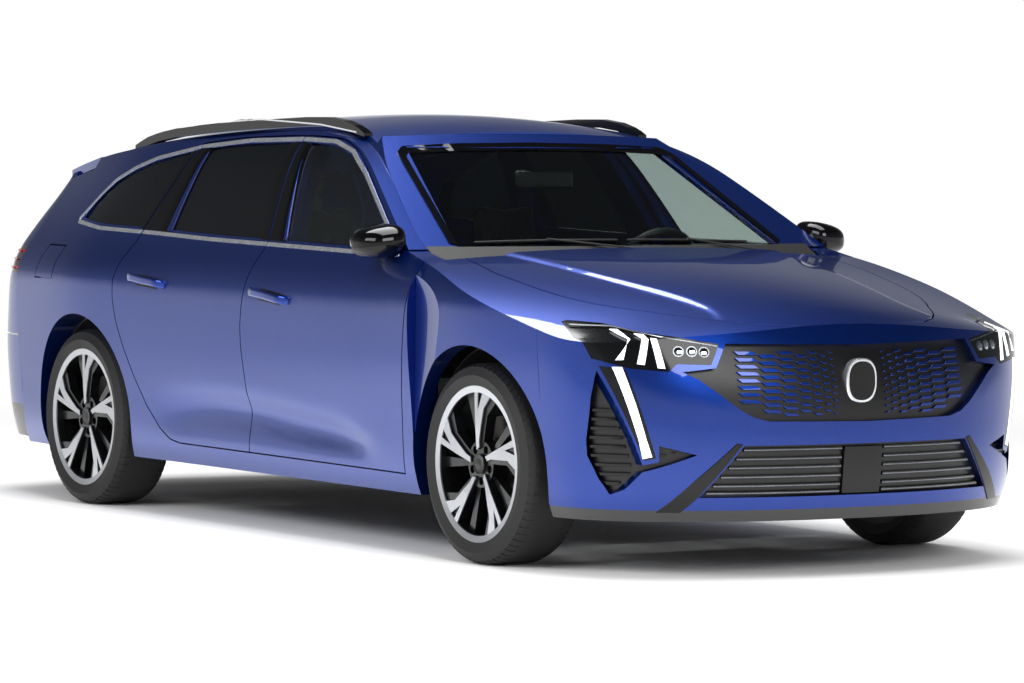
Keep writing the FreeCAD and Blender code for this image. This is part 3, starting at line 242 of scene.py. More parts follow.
# Noise values lie mostly between these, so colours and roughness are spread over them.
NOISE_ENDS = (0.3, 0.7)
# How many times broader than the grain the soft mottling under it is.
MOTTLING = 60


@dataclass(frozen=True)
class Finish:
    """A surface finish: colours with fine mottling, a micro relief and the shader's constants.

    A finish with a lower level changes to darker, rougher plastic under that height in metres.
    """

    name: str
    colours: tuple[str, ...]
    grain_mm: float
    relief_mm: float = 0.02
    relief_strength: float = 0.2
    roughness: tuple[float, float] = (0.3, 0.4)
    constants: dict = field(default_factory=dict)
    broad: float = 0.3
    metallic: float = 0.0
    lower_level: float = -1.0
    lower_colours: tuple[str, str] = ("0b0b0c", "141416")
    lower_roughness: float = 0.5
    glow: float = 0.0

    def build(self) -> bpy.types.Material:
        """Make the material with its nodes."""
        material = bpy.data.materials.new(self.name)
        tree = bare_tree(material)
        place = add_node(tree, "ShaderNodeTexCoord").outputs["Object"]
        grain = self.grain_mm * MM
        fine, coarse = (
            output(tree, "ShaderNodeTexNoise", links={"Vector": place, "Scale": scale, "Detail": detail})
            for scale, detail in ((1 / grain, 3.0), (1 / (MOTTLING * grain), 2.0)))
        mixed = output(tree, "ShaderNodeMix", {"data_type": "FLOAT"},
                       {"Factor": self.broad, "A": fine, "B": coarse})
        steps = max(len(self.colours) - 1, 1)
        low, high = NOISE_ENDS
        stops = [(low + (high - low) * i / steps, code) for i, code in enumerate(self.colours)]
        looks = {
            "Base Color": ramp(tree, mixed, stops),
            "Roughness": mapped(tree, mixed, NOISE_ENDS, self.roughness),
            "Metallic": self.metallic,
        }
        if self.glow:
            looks |= {"Emission Color": looks["Base Color"], "Emission Strength": self.glow}
        if self.lower_level > 0:
            looks |= self.lower_part(tree, place, fine, looks)
        looks["Normal"] = output(tree, "ShaderNodeBump", links={
            "Height": fine, "Strength": self.relief_strength, "Distance": self.relief_mm * MM})
        shader = output(tree, "ShaderNodeBsdfPrincipled", links=looks | self.constants)
        add_node(tree, "ShaderNodeOutputMaterial", links={"Surface": shader})
        return material

    def lower_part(self, tree: Tree, place: Socket, fine: Socket, looks: dict) -> dict:
        """Change a finish's looks under its lower level.

        Args:
            tree: The material's node tree.
            place: The place on the object.
            fine: The fine noise.
            looks: The looks above the level.

        Returns:
            The looks that differ with height.
        """
        level = add_node(tree, "ShaderNodeSeparateXYZ", links={0: place}).outputs["Z"]
        under = output(tree, "ShaderNodeMath", {"operation": "LESS_THAN"}, {0: level, 1: self.lower_level})
        dark = two_tone(tree, fine, self.lower_colours)
        changed = {"Base Color": blend(tree, under, looks["Base Color"], dark)}
        for name, low in (("Roughness", self.lower_roughness), ("Metallic", 0.0)):
            changed[name] = output(tree, "ShaderNodeMix", {"data_type": "FLOAT"},
                                   {"Factor": under, "A": looks[name], "B": low})
        return changed


@dataclass(frozen=True)
class TurnedWheelFinish:
    """Two-tone wheel: graphite lacquer with the outward faces of arms and lip turned bright."""

    name: str = "diamond_turned_alloy"
    lacquer: tuple[str, str] = ("101113", "1c1d20")
    metal: tuple[str, str] = ("a3a5aa", "c4c6ca")
    centre_x: float = 0.071
    half_wheelbase: float = 1.366
    centre_z: float = 0.3185
    wheel_plane: float = 0.78
    face: float = 0.0985
    fall: tuple[float, float] = (0.0068, 0.002)
    fall_radii: tuple[float, float] = (0.045, 0.12)
    skim: float = 0.003
    cap_radius: float = 0.036
    ring_pitch_mm: float = 0.6
    grain_mm: float = 1.2
    roughness: tuple[float, float] = (0.24, 0.38)
    metallic: tuple[float, float] = (0.6, 0.35)

    def build(self) -> bpy.types.Material:
        """Make the material with its nodes."""
        material = bpy.data.materials.new(self.name)
        tree = bare_tree(material)
        place = add_node(tree, "ShaderNodeTexCoord").outputs["Object"]
        axes = add_node(tree, "ShaderNodeSeparateXYZ", links={0: place}).outputs

        def sums(operation: str, *terms: object) -> Socket:
            """Return the output of one sum."""
            return output(tree, "ShaderNodeMath", {"operation": operation}, dict(enumerate(terms)))

        def off(axis: str, middle: float) -> Socket:
            """Return the distance from a plane across an axis."""
            return sums("ABSOLUTE", sums("SUBTRACT", axes[axis], middle))

        along = sums("SUBTRACT", off("X", self.centre_x), self.half_wheelbase)
        rise = off("Z", self.centre_z)
        radius = sums("SQRT", sums("ADD", sums("MULTIPLY", along, along), sums("MULTIPLY", rise, rise)))
        out = sums("SUBTRACT", off("Y", 0.0), self.wheel_plane)
        level = sums("SUBTRACT", self.face - self.skim, mapped(tree, radius, self.fall_radii, self.fall))
        bright = sums("MULTIPLY", sums("GREATER_THAN", out, level),
                      sums("GREATER_THAN", radius, self.cap_radius))
        rings = output(tree, "ShaderNodeTexNoise", {"noise_dimensions": "1D"},
                       {"W": radius, "Scale": 1 / (self.ring_pitch_mm * MM), "Detail": 2.0})
        grain = output(tree, "ShaderNodeTexNoise", links={"Vector": place, "Scale": 1 / (self.grain_mm * MM)})
        both = blend(tree, bright, two_tone(tree, grain, self.lacquer), two_tone(tree, rings, self.metal))
        shader = output(tree, "ShaderNodeBsdfPrincipled", links={
            "Base Color": both, "Roughness": mapped(tree, rings, (0, 1), self.roughness),
            "Normal": output(tree, "ShaderNodeBump", links={
                "Height": rings, "Strength": 0.15, "Distance": 0.02 * MM}),
            "Metallic": sums("MULTIPLY_ADD", bright, self.metallic[1], self.metallic[0]),
            "Coat Weight": 0.5, "Coat Roughness": 0.06})
        add_node(tree, "ShaderNodeOutputMaterial", links={"Surface": shader})
        return material


COAT = {"Coat Weight": 0.8, "Coat Roughness": 0.02, "Coat IOR": 1.5}
GLASS = {"Transmission Weight": 1.0, "IOR": 1.45}


def lacquered(name: str, lower_level: float = -1.0) -> Finish:
    """Return metallic blue basecoat under clear lacquer, over black plastic where a level is given."""
    return Finish(name, ("031c5c", "062f88", "0b42a6"), 0.9, 0.02, 0.08, (0.26, 0.34), COAT,
                  broad=0.0, metallic=0.9, lower_level=lower_level)


FINISHES = {
    "paint": lacquered("metallic_blue_lacquer"),
    # The nose over its valance, the tail over its apron and the screen pillars over their foot.
    "nose_paint": lacquered("lacquer_over_black_valance", 0.212),
    "tail_paint": lacquered("lacquer_over_black_apron", 0.335),
    "pillar_paint": lacquered("lacquer_over_black_foot", 0.992),
    # Piano-black ABS: deep and mirror smooth, with faint polishing marks.
    "gloss_black": Finish("gloss_black_abs", ("040405", "08080a"), 2.0, 0.01, 0.04, (0.06, 0.1),
                          {"Specular IOR Level": 0.35}),
    # Grained polypropylene: matt charcoal with a pebble texture.
    "dark_plastic": Finish("grained_polypropylene", ("0b0b0d", "151518"), 1.2, 0.12, 0.45, (0.45, 0.6)),
    # Unpainted valance plastic, a shade deeper.
    "grille_black": Finish("satin_grille_abs", ("060607", "0d0d0f"), 1.0, 0.05, 0.3, (0.3, 0.42)),
    # Laminated clear glass with a slight grey-green tint.
    "glass": Finish("laminated_glass", ("c4d0cc", "ced9d5"), 6.0, 0.004, 0.01, (0.0, 0.01), GLASS),
    # Dark tempered glass: very little light comes through.
    "privacy": Finish("privacy_glass", ("0e1113", "14181b"), 6.0, 0.004, 0.01, (0.02, 0.03),
                      {"Transmission Weight": 0.65, "IOR": 1.45}),
    # Vulcanised rubber: warm black, dusty in its pores.
    "rubber": Finish("tyre_rubber", ("0e0e0f", "191919"), 1.5, 0.15, 0.4, (0.55, 0.75)),
    # Bright-dipped aluminium trim: smooth, a little softer than chrome.
    "chrome": Finish("bright_dipped_aluminium", ("dfe2e6", "f2f4f6"), 1.0, 0.01, 0.05, (0.22, 0.3),
                     metallic=0.9),
    # Turned cast iron: bright rings with a rust-brown bloom.
    "iron": Finish("turned_cast_iron", ("4a4643", "7d7a78"), 1.5, 0.06, 0.3, (0.3, 0.45), metallic=1.0),
    # Brake caliper: sand-cast aluminium.
    "caliper": Finish("sand_cast_aluminium", ("55575a", "84878b"), 1.8, 0.2, 0.5, (0.4, 0.55), metallic=0.9),
    # Painted chassis steel: satin black with dust.
    "steel": Finish("painted_chassis_steel", ("0c0d0f", "1c1d20"), 3.0, 0.1, 0.4, (0.4, 0.6), metallic=0.3),
    # Woven seat cloth: charcoal threads.
    "cloth": Finish("woven_seat_cloth", ("141417", "2c2c31"), 2.2, 0.4, 0.7, (0.75, 0.9),
                    {"Sheen Weight": 0.3}),
    # Leathered vinyl of wheel rim and dash: fine creases.
    "vinyl": Finish("grained_vinyl", ("101012", "1d1d20"), 2.6, 0.25, 0.5, (0.4, 0.55)),
    # Smoked red acrylic over a dark housing.
    "tail_lens": Finish("smoked_red_acrylic", ("16050a", "2c070c"), 2.0, 0.02, 0.1, (0.05, 0.1), COAT),
    # Red light guides behind the smoked acrylic, unlit, with a faint painted glow.
    "tail_red": Finish("red_guide_painted_glow", ("8a0a12", "b5121a"), 1.2, 0.05, 0.2, (0.1, 0.2), COAT, glow=0.15),
    # Smoked lamp cover: near-black gloss over the reflector.
    "lamp": Finish("smoked_lamp_cover", ("060708", "0d0f11"), 2.0, 0.02, 0.06, (0.05, 0.1),
                   {"Specular IOR Level": 0.3}),
    # Vacuum-metallised reflector parts inside the lamps.
    "reflector": Finish("metallised_reflector", ("4a4d52", "8d9197"), 3.0, 0.05, 0.3, (0.15, 0.28),
                        metallic=0.9),
    # Lit opal light guides: even white.
    "light": Finish("opal_light_guide", ("f4f7ff", "ffffff"), 4.0, 0.01, 0.05, (0.2, 0.3), glow=1.05),
    # Silvered mirror glass.
    "mirror": Finish("silvered_mirror_glass", ("c9ccd0", "d5d8db"), 6.0, 0.004, 0.01, (0.02, 0.03),
                     metallic=1.0),
    # Dark glass of the centre display.
    "display": Finish("dark_display_glass", ("07090c", "0d1116"), 4.0, 0.004, 0.02, (0.04, 0.07), COAT),
    # Alloy wheels in two tones.
    "wheel": TurnedWheelFinish(),
}


def sides(*names: str) -> list[str]:
    """Return the right-hand and left-hand names of some nodes."""
    return [f"{name}_{side}" for name in names for side in ("right", "left")]


NODE_FINISH = {
    "paint": sides("body_side", "front_door", "rear_door")
    + ["front_fenders", "fuel_flap", "roof_panel", "hood", "tailgate", "tail_corners"],
    "nose_paint": ["front_bumper"],
    "tail_paint": ["rear_bumper"],
    "gloss_black": ["roof_rails", "antenna_fin", *sides("mirror")],
    "pillar_paint": ["windscreen_frame"],
    "glass": ["windscreen", *sides("front_door_glass")],
    "privacy": ["quarter_glass", "tailgate_glass", *sides("rear_door_glass")],
    "lamp": ["head_lamps", "fang_lamps"],
    "tail_lens": ["tail_lamps", "tailgate_lamps"],
    "rubber": sides("tyre_front", "tyre_rear"),
    "wheel": sides("rim_front", "rim_rear"),
    "iron": sides("brake_disc_front", "brake_disc_rear"),
    "steel": ["engine_block", "front_subframe", "rear_axle", "exhaust", *sides("front_knuckle")],
    "grille_black": ["grilles", "side_vents"],
    "dark_plastic": ["floor_pan", "arch_liners"],
    "vinyl": ["dashboard", "steering_wheel"],
    "cloth": ["front_seats", "rear_seat"],
}


class Workshop:
    """Keeps each finish's material, made once."""

    def __init__(self) -> None:
        """Start with no materials made."""
        self.made: dict[str, bpy.types.Material] = {}

    def material(self, key: str) -> bpy.types.Material:
        """Return the material of a finish, by its key in FINISHES."""
        if key not in self.made:
            self.made[key] = FINISHES[key].build()
        return self.made[key]

    def dress_nodes(self) -> None:
        """Give each CAD node its finish."""
        for key, nodes in NODE_FINISH.items():
            for name in nodes:
                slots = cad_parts[name].data.materials
                slots.clear()
                slots.append(self.material(key))


WORKSHOP = Workshop()


# --------------------------------------------------------------------------- shapes

# How far rays also go out beside a drawn place, to bridge the gaps between panels, in mm.
BRIDGE = 7
# How far a bridged place may lie from where such a ray meets the surface, in metres.
BRIDGE_STEP = 0.005
# The flattest angle, as a cosine, that a bridged place is worked out for.
FLATTEST = 0.2
# How square the section of a bar is: 1 is round, and less is squarer.
SECTION_POWER = 0.7
# Vertices nearer than this are one, in metres.
SAME_PLACE = 1e-6
# Edges that turn by more than this are sharp.
SHARP_EDGE = math.radians(35)


class View(Enum):
    """The side that a drawing is laid on from: where its rays start, their way and usual reach."""

    SIDE = ((0, None, 1), -1.5, (0, 1, 0), 0.6)
    NOSE = ((None, 0, 1), 3.0, (-1, 0, 0), 0.8)
    TAIL = ((None, 0, 1), -3.0, (1, 0, 0), 0.8)
    TOP = ((0, 1, None), 2.5, (0, 0, -1), 1.5)

    def start(self, a: float, b: float) -> Vector:
        """Return the ray's start for a drawn place in metres."""
        return Vector([self.value[1] if i is None else (a, b)[i] for i in self.value[0]])

    @property
    def direction(self) -> Vector:
        """Return the ray's direction."""
        return Vector(self.value[2])


class Skin:
    """The outer surface of some CAD nodes, as seen from one side."""

    def __init__(self, view: View, *nodes: str) -> None:
        """Gather the nodes' faces.

        Args:
            view: The side that it is seen from.
            nodes: The nodes' names.
        """
        vertices, faces = [], []
        for name in nodes:
            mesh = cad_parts[name].data
            start = len(vertices)
            vertices += [v.co.copy() for v in mesh.vertices]
            faces += [[start + i for i in p.vertices] for p in mesh.polygons]
        self.tree = BVHTree.FromPolygons(vertices, faces)
        self.view = view

    def point(self, a: float, b: float) -> tuple[Vector, Vector]:
        """Find the surface at a drawn place, bridging the narrow gaps between panels.

        Args:
            a: First drawn coordinate in mm.
            b: Second drawn coordinate in mm.

        Returns:
            The place and its outward normal.
        """
        ray = self.view.direction
        middle = self.view.start(a * MM, b * MM)
        best = None
        for across, up in ((0, 0), (BRIDGE, 0), (-BRIDGE, 0), (0, BRIDGE), (0, -BRIDGE)):
            start = self.view.start((a + across) * MM, (b + up) * MM)
            place, normal, _, reach = self.tree.ray_cast(start, ray)
            if place is None:
                continue
            if normal.dot(ray) > 0:
                normal = -normal
            plane = normal.dot(place - middle) / min(normal.dot(ray), -FLATTEST)
            reach = max(reach - BRIDGE_STEP, min(reach + BRIDGE_STEP, plane))
            if best is None or reach < best[0]:
                best = (reach, normal)
        if best is None:
            place, normal, _, _ = self.tree.find_nearest(middle + ray * self.view.value[3])
            return place, normal if normal.dot(ray) < 0 else -normal
        return middle + ray * best[0], best[1]


class Piece:
    """One visual piece: closed shells gathered into one mesh with one finish."""

    def __init__(self, name: str, body: str, finish: str, slot: str) -> None:
        """Start an empty piece.

        Args:
            name: The object's name.
            body: The CAD body that it rides on.
            finish: The finish's key in FINISHES.
            slot: The record's material slot.
        """
        self.name, self.body, self.finish, self.slot = name, body, finish, slot
        self.vertices: list[Vector] = []
        self.faces: list[list[int]] = []

    def shell(self, outer: Grid, inner: Grid) -> None:
        """Add a closed shell between two grids of the same size.

        Args:
            outer: The grid that shows.
            inner: The grid behind it.
        """
        rows, columns, start = len(outer), len(outer[0]), len(self.vertices)
        size = rows * columns
        self.vertices += [v for row in outer for v in row] + [v for row in inner for v in row]

        def at(i: int, j: int, back: bool) -> int:
            """Return a vertex number."""
            return start + i * columns + j + (size if back else 0)

        for i in range(rows - 1):
            for j in range(columns - 1):
                corners = ((i, j), (i + 1, j), (i + 1, j + 1), (i, j + 1))
                self.faces.append([at(p, q, False) for p, q in corners])
                self.faces.append([at(p, q, True) for p, q in reversed(corners)])
        edge = [(i, 0) for i in range(rows)] + [(rows - 1, j) for j in range(1, columns)]
        edge += [(i, columns - 1) for i in range(rows - 2, -1, -1)]
        edge += [(0, j) for j in range(columns - 2, 0, -1)]
        for (i, j), (p, q) in zip(edge, edge[1:] + edge[:1]):
            self.faces.append([at(i, j, False), at(i, j, True), at(p, q, True), at(p, q, False)])

    def patch(self, skin: Skin, first: Pairs, second: Pairs, lift: float, depth: float,
              along: int = 12, across: int = 3) -> None:
        """Add a patch that lies on a surface between two drawn lines.

        Args:
            skin: The surface.
            first: One edge, in mm.
            second: The other edge, in mm.
            lift: How far it stands out, in mm.
            depth: How far it goes in, in mm.
            along: Points along the lines.
            across: Points between the lines.
        """
        outer, inner = [], []
        for a, b in zip(resampled(first, along), resampled(second, along)):
            outer.append([])
            inner.append([])
            for k in range(across):
                t = k / (across - 1)
                place, normal = skin.point(a[0] + (b[0] - a[0]) * t, a[1] + (b[1] - a[1]) * t)
                outer[-1].append(place + normal * lift * MM)
                inner[-1].append(place - normal * depth * MM)
        self.shell(outer, inner)

    def strip(self, skin: Skin, line: Pairs, width: float, lift: float, depth: float,
              along: int = 12) -> None:
        """Add a strip that follows a drawn line, which is its middle."""
        self.patch(skin, shifted(line, width / 2), shifted(line, -width / 2), lift, depth, along, 3)

    def slab(self, skin: Skin, ends: tuple[float, float], levels: tuple[float, float], lift: float,
             depth: float, along: int, across: int) -> None:
        """Add a patch between two ends in mm, from an upper to a lower level in mm."""
        top, bottom = ([(end, level) for end in ends] for level in levels)
        self.patch(skin, top, bottom, lift, depth, along, across)

    def tube(self, loops: Grid) -> None:
        """Add a closed solid through loops of points, with flat ends."""
        start, count = len(self.vertices), len(loops[0])
        self.vertices += [p for loop in loops for p in loop]
        for i in range(len(loops) - 1):
            for k in range(count):
                a, b = start + i * count + k, start + i * count + (k + 1) % count
                self.faces.append([a, b, b + count, a + count])
        for i in (0, len(loops) - 1):
            self.faces.append([start + i * count + k for k in range(count)])

    def bar(self, path: Sequence[Vector], half: tuple[float, float], count: int = 8,
            up: Vector | None = None) -> None:
        """Sweep a rounded section along a path.

        Args:
            path: The path's points in metres.
            half: Half width and half height in mm.
            count: Points round the section.
            up: The section's height direction.
        """
        up = up or Vector((0, 0, 1))
        loops = []
        for i, place in enumerate(path):
            run = (path[min(i + 1, len(path) - 1)] - path[max(i - 1, 0)]).normalized()
            side = run.cross(up).normalized()
            top = side.cross(run)
            loops.append([])
            for turn in angles(count, 0.5):
                x, y = (squared(f, SECTION_POWER) for f in (math.cos(turn), math.sin(turn)))
                loops[-1].append(place + side * x * half[0] * MM + top * y * half[1] * MM)
        self.tube(loops)

    def box(self, low: tuple, high: tuple) -> None:
        """Add a block between two corners in mm."""
        xs, ys, zs = ((a * MM, b * MM) for a, b in zip(low, high))
        self.shell([[Vector((x, y, zs[1])) for x in xs] for y in ys],
                   [[Vector((x, y, zs[0])) for x in xs] for y in ys])

    def turned(self, centre: Vector, axis: Vector, profile: Pairs, segments: int = 32) -> None:
        """Add a solid of revolution.

        Args:
            centre: Where the axis starts, in metres.
            axis: The axis direction.
            profile: Pairs of distance along the axis and radius, in mm; ends close on the axis
                when their radius is 0, or else the profile is a closed loop.
            segments: Steps round.
        """
        axis = axis.normalized()
        side = axis.orthogonal().normalized()
        other = axis.cross(side)
        closed = profile[0][1] > 0
        start, count = len(self.vertices), len(profile)
        for turn in angles(segments):
            out = side * math.cos(turn) + other * math.sin(turn)
            self.vertices += [centre + axis * d * MM + out * r * MM for d, r in profile]
        steps = count if closed else count - 1
        for k in range(segments):
            a, b = start + k * count, start + (k + 1) % segments * count
            for i in range(steps):
                j = (i + 1) % count
                self.faces.append([a + i, b + i, b + j, a + j])

    def mirror(self) -> "Piece":
        """Add the same shapes on the car's other side, and return the piece itself."""
        start = len(self.vertices)
        self.vertices += [Vector((v.x, -v.y, v.z)) for v in self.vertices]
        self.faces += [[start + i for i in reversed(f)] for f in self.faces]
        return self

    def mesh(self) -> bpy.types.Mesh:
        """Make the mesh, with its normals outward."""
        mesh = bpy.data.meshes.new(self.name)
        mesh.from_pydata(self.vertices, [], self.faces)
        work = bmesh.new()
        work.from_mesh(mesh)
        bmesh.ops.remove_doubles(work, verts=work.verts, dist=SAME_PLACE)
        bmesh.ops.recalc_face_normals(work, faces=work.faces)
        work.to_mesh(mesh)
        work.free()
        mesh.shade_smooth()
        mesh.set_sharp_from_angle(angle=SHARP_EDGE)
        mesh.materials.append(WORKSHOP.material(self.finish))
        return mesh

    def build(self, bevel: float = 0.0) -> bpy.types.Object:
        """Make the object and hang it on its body.

        Args:
            bevel: Width of the rounded edges in mm, or 0 for none.

        Returns:
            The object.
        """
        piece = placed(self.name, self.mesh())
        if bevel:
            rounding = piece.modifiers.new("rounding", "BEVEL")
            rounding.width, rounding.segments, rounding.limit_method = bevel * MM, 2, "ANGLE"
        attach(piece, self.body)
        return piece

    def pair(self) -> tuple[bpy.types.Object, bpy.types.Object]:
        """Make the left-hand image of a right-hand piece, then the piece itself."""
        left, body = (name.replace("right", "left") for name in (self.name, self.body))
        other = Piece(left, body, self.finish, self.slot)
        other.vertices = [Vector((v.x, -v.y, v.z)) for v in self.vertices]
        other.faces = [list(reversed(f)) for f in self.faces]
        return other.build(), self.build()


# --------------------------------------------------------------------------- body sides

WINDOW_TOP: Pairs = [
    (-1511, 1036), (-1470, 1075), (-1424, 1120), (-1347, 1180), (-1230, 1225), (-1097, 1262), (-814, 1306),
    (-493, 1330), (-130, 1337), (104, 1330), (265, 1298), (436, 1226), (604, 1132), (760, 1042), (885, 972),
]
BELT: Pairs = [(-1505, 1026), (-1288, 1006), (-845, 997), (-446, 985), (71, 976), (552, 968), (885, 965)]


@dataclass
class SideTrim:
    """Bright window surrounds, black pillar covers and mirror sails of both sides."""

    width: float = 13.0
    lift: float = 1.6
    cover_lift: float = 1.2
    depth: float = 1.5
    spans: tuple = (("body", (-1512, -823), (-1506, -956)), ("rear_door", (-814, -135), (-943, -26)),
                    ("front_door", (-124, 886), (-18, 886)))
    covers: tuple = (
        ("body", ((-967, 1008), (-866, 1288)), ((-950, 1008), (-829, 1294))),
        ("rear_door", ((-939, 1008), (-818, 1298)), ((-735, 1000), (-732, 1303))),
        ("rear_door", ((-68, 990), (-194, 1322)), ((-27, 990), (-130, 1328))),
        ("front_door", ((-18, 990), (-120, 1328)), ((104, 988), (-58, 1320))),
        ("front_door", ((826, 978), (706, 1060)), ((874, 976), (742, 1047))),
    )

    def build(self) -> None:
        """Lay the strips and covers on the right side, and mirror them."""
        skin = Skin(View.SIDE, "body_side_right", "front_door_right", "rear_door_right", "quarter_glass",
                    "front_door_glass_right", "rear_door_glass_right", "front_fenders", "windscreen_frame")
        for part, top, belt in self.spans:
            body = part if part == "body" else f"{part}_right"
            strips = Piece(f"window_trim_{part}_right", body, "chrome", "black_trim")
            strips.strip(skin, cut(WINDOW_TOP, *top), self.width, self.lift, self.depth, 40)
            strips.strip(skin, cut(BELT, *belt), self.width, self.lift, self.depth, 24)
            strips.pair()
            panels = Piece(f"pillar_cover_{part}_right", body, "gloss_black", "black_trim")
            for owner, first, second in self.covers:
                if owner == part:
                    panels.patch(skin, first, second, self.cover_lift, self.depth, 14, 5)
            panels.pair()


# --------------------------------------------------------------------------- nose


@dataclass
class HeadLamps:
    """Three white light guides, a projector row and trim in each headlamp; the white fang below."""

    bars: tuple = (
        (((-749, 674), (-727, 763)), ((-768, 673), (-710, 763))),
        (((-717, 662), (-694, 752)), ((-698, 659), (-677, 750))),
        (((-665, 650), (-675, 741)), ((-645, 648), (-658, 739))),
    )
    lenses: tuple = ((-604, 700), (-566, 700), (-530, 698))
    bezel: Pairs = ((-2, 17), (1.2, 17), (1.2, 14), (-2, 14))
    dome: Pairs = ((-2, 0), (-2, 13), (0.2, 13), (1.4, 8), (1.9, 0))
    brow: Pairs = ((-800, 774), (-709, 772), (-654, 746), (-567, 730), (-486, 716))
    brow_width: float = 3.5
    fang: tuple = (((-776, 652), (-715, 430), (-703, 372)), ((-753, 652), (-696, 431), (-680, 378)))
    lift: float = 0.9
    depth: float = 1.0

    def build(self) -> None:
        """Lay the light guides on the lamps' skins."""
        lamp = Skin(View.NOSE, "head_lamps")
        lights = Piece("headlamp_light_guides", "body", "light", "lamp_lens")
        for first, second in self.bars:
            lights.patch(lamp, first, second, self.lift, self.depth, 8)
        lights.mirror().build()
        rims = Piece("headlamp_bezels", "body", "reflector", "lamp_lens")
        domes = Piece("headlamp_projectors", "body", "mirror", "lamp_lens")
        for lens in self.lenses:
            rims.turned(*lamp.point(*lens), self.bezel, 24)
            domes.turned(*lamp.point(*lens), self.dome, 24)
        rims.strip(lamp, self.brow, self.brow_width, 0.8, self.depth, 28)
        rims.mirror().build()
        domes.mirror().build()
        fangs = Piece("fang_light_guides", "body", "light", "lamp_lens")
        fangs.patch(Skin(View.NOSE, "fang_lamps"), *self.fang, self.lift, self.depth, 16)
        fangs.mirror().build()


@dataclass
class SideVents:
    """Louvres and ribs of the tall air vents at the nose's corners."""

    outer: Pairs = ((259, -764), (310, -788), (377, -806), (426, -808), (627, -800))
    inner: Pairs = ((259, -748), (278, -742), (332, -706), (546, -760), (627, -798))
    levels: Sequence[int] = range(295, 535, 28)
    margin: float = 4
    ribs: Pairs = ((-655, 372), (-630, 378), (-605, 384))
    rib_length: float = 12
    lifts: tuple[float, float] = (11.0, 6.0)

    def build(self) -> None:
        """Put the louvres and ribs in the right vent and mirror them."""
        skin = Skin(View.NOSE, "side_vents")
        louvres = Piece("vent_louvres", "body", "gloss_black", "black_trim")
        for z in self.levels:
            ends = (between(self.inner, z) - self.margin, between(self.outer, z) + self.margin)
            louvres.slab(skin, ends, (z + 4, z - 5), self.lifts[0], 1.0, 6, 3)
        for y, z in self.ribs:
            louvres.slab(skin, (y, y - self.rib_length), (z + 8, z + 3), self.lifts[1], 1.0, 3, 3)
        louvres.mirror().build(0.6)


@dataclass
class UpperGrille:
    """Blue dashes in staggered rows on a black plate, with a blank plaque in the middle.

    Each column has the dashes' outer end, their length and half their height.
    """

    rows: tuple = (505, 525, 546, 567, 588, 609, 630, 651, 672, 692)
    columns: tuple = ((108, 10, 3.0), (140, 16, 3.4), (180, 24, 4.0), (228, 33, 4.6), (286, 43, 5.2),
                      (352, 52, 5.8), (428, 60, 6.0))
    stagger: float = 10
    slant: float = 2.4
    margin: float = 9
    lift: float = 7.0
    low: Pairs = ((0, 488), (345, 494), (399, 508), (442, 534), (489, 572), (556, 624))
    high: Pairs = ((0, 706), (460, 712), (500, 650))
    plaque_z: float = 604
    plaque_half: tuple[float, float] = (0.058, 0.07)
    plaque_points: int = 48
    plaque_power: float = 0.8

    def build(self) -> None:
        """Put in the dashes and the plaque."""
        skin = Skin(View.NOSE, "grilles")
        dashes = Piece("grille_dashes", "body", "paint", "body_paint")
        for number, (reach, length, half) in enumerate(self.columns):
            lean = self.slant * half
            for z in self.rows:
                level = z + (self.stagger if number % 2 else 0)
                floor, roof = (between(table, reach) for table in (self.low, self.high))
                if not floor + self.margin < level < roof - self.margin:
                    continue
                end = reach - length
                for side in (-1, 1):
                    top = [(side * reach, level + half), (side * end, level + half - 1)]
                    foot = [(side * (reach - lean), level - half), (side * (end - lean), level - half)]
                    dashes.patch(skin, top, foot, self.lift, 1.0, 3)
        dashes.build(0.8)
        self.plaque(skin.point(0, self.plaque_z)[0])

    def plaque(self, centre: Vector) -> None:
        """Build the domed plaque and the bright rim behind it."""
        plaque = Piece("nose_plaque", "body", "gloss_black", "black_trim")
        rim = Piece("nose_plaque_rim", "body", "chrome", "black_trim")
        across, up = self.plaque_half
        outline = [(across * squared(math.cos(t), self.plaque_power), up * squared(math.sin(t), self.plaque_power))
                   for t in angles(self.plaque_points)]
        for piece, size, rise in ((rim, 1.0, 0.012), (plaque, 0.88, 0.014)):
            steps = ((1.0, -0.01), (1.0, rise - 0.003), (0.95, rise), (0.5, rise + 0.0012))
            piece.tube([[centre + Vector((depth, y * size * scale, z * size * scale)) for y, z in outline]
                        for scale, depth in steps])
            piece.build()


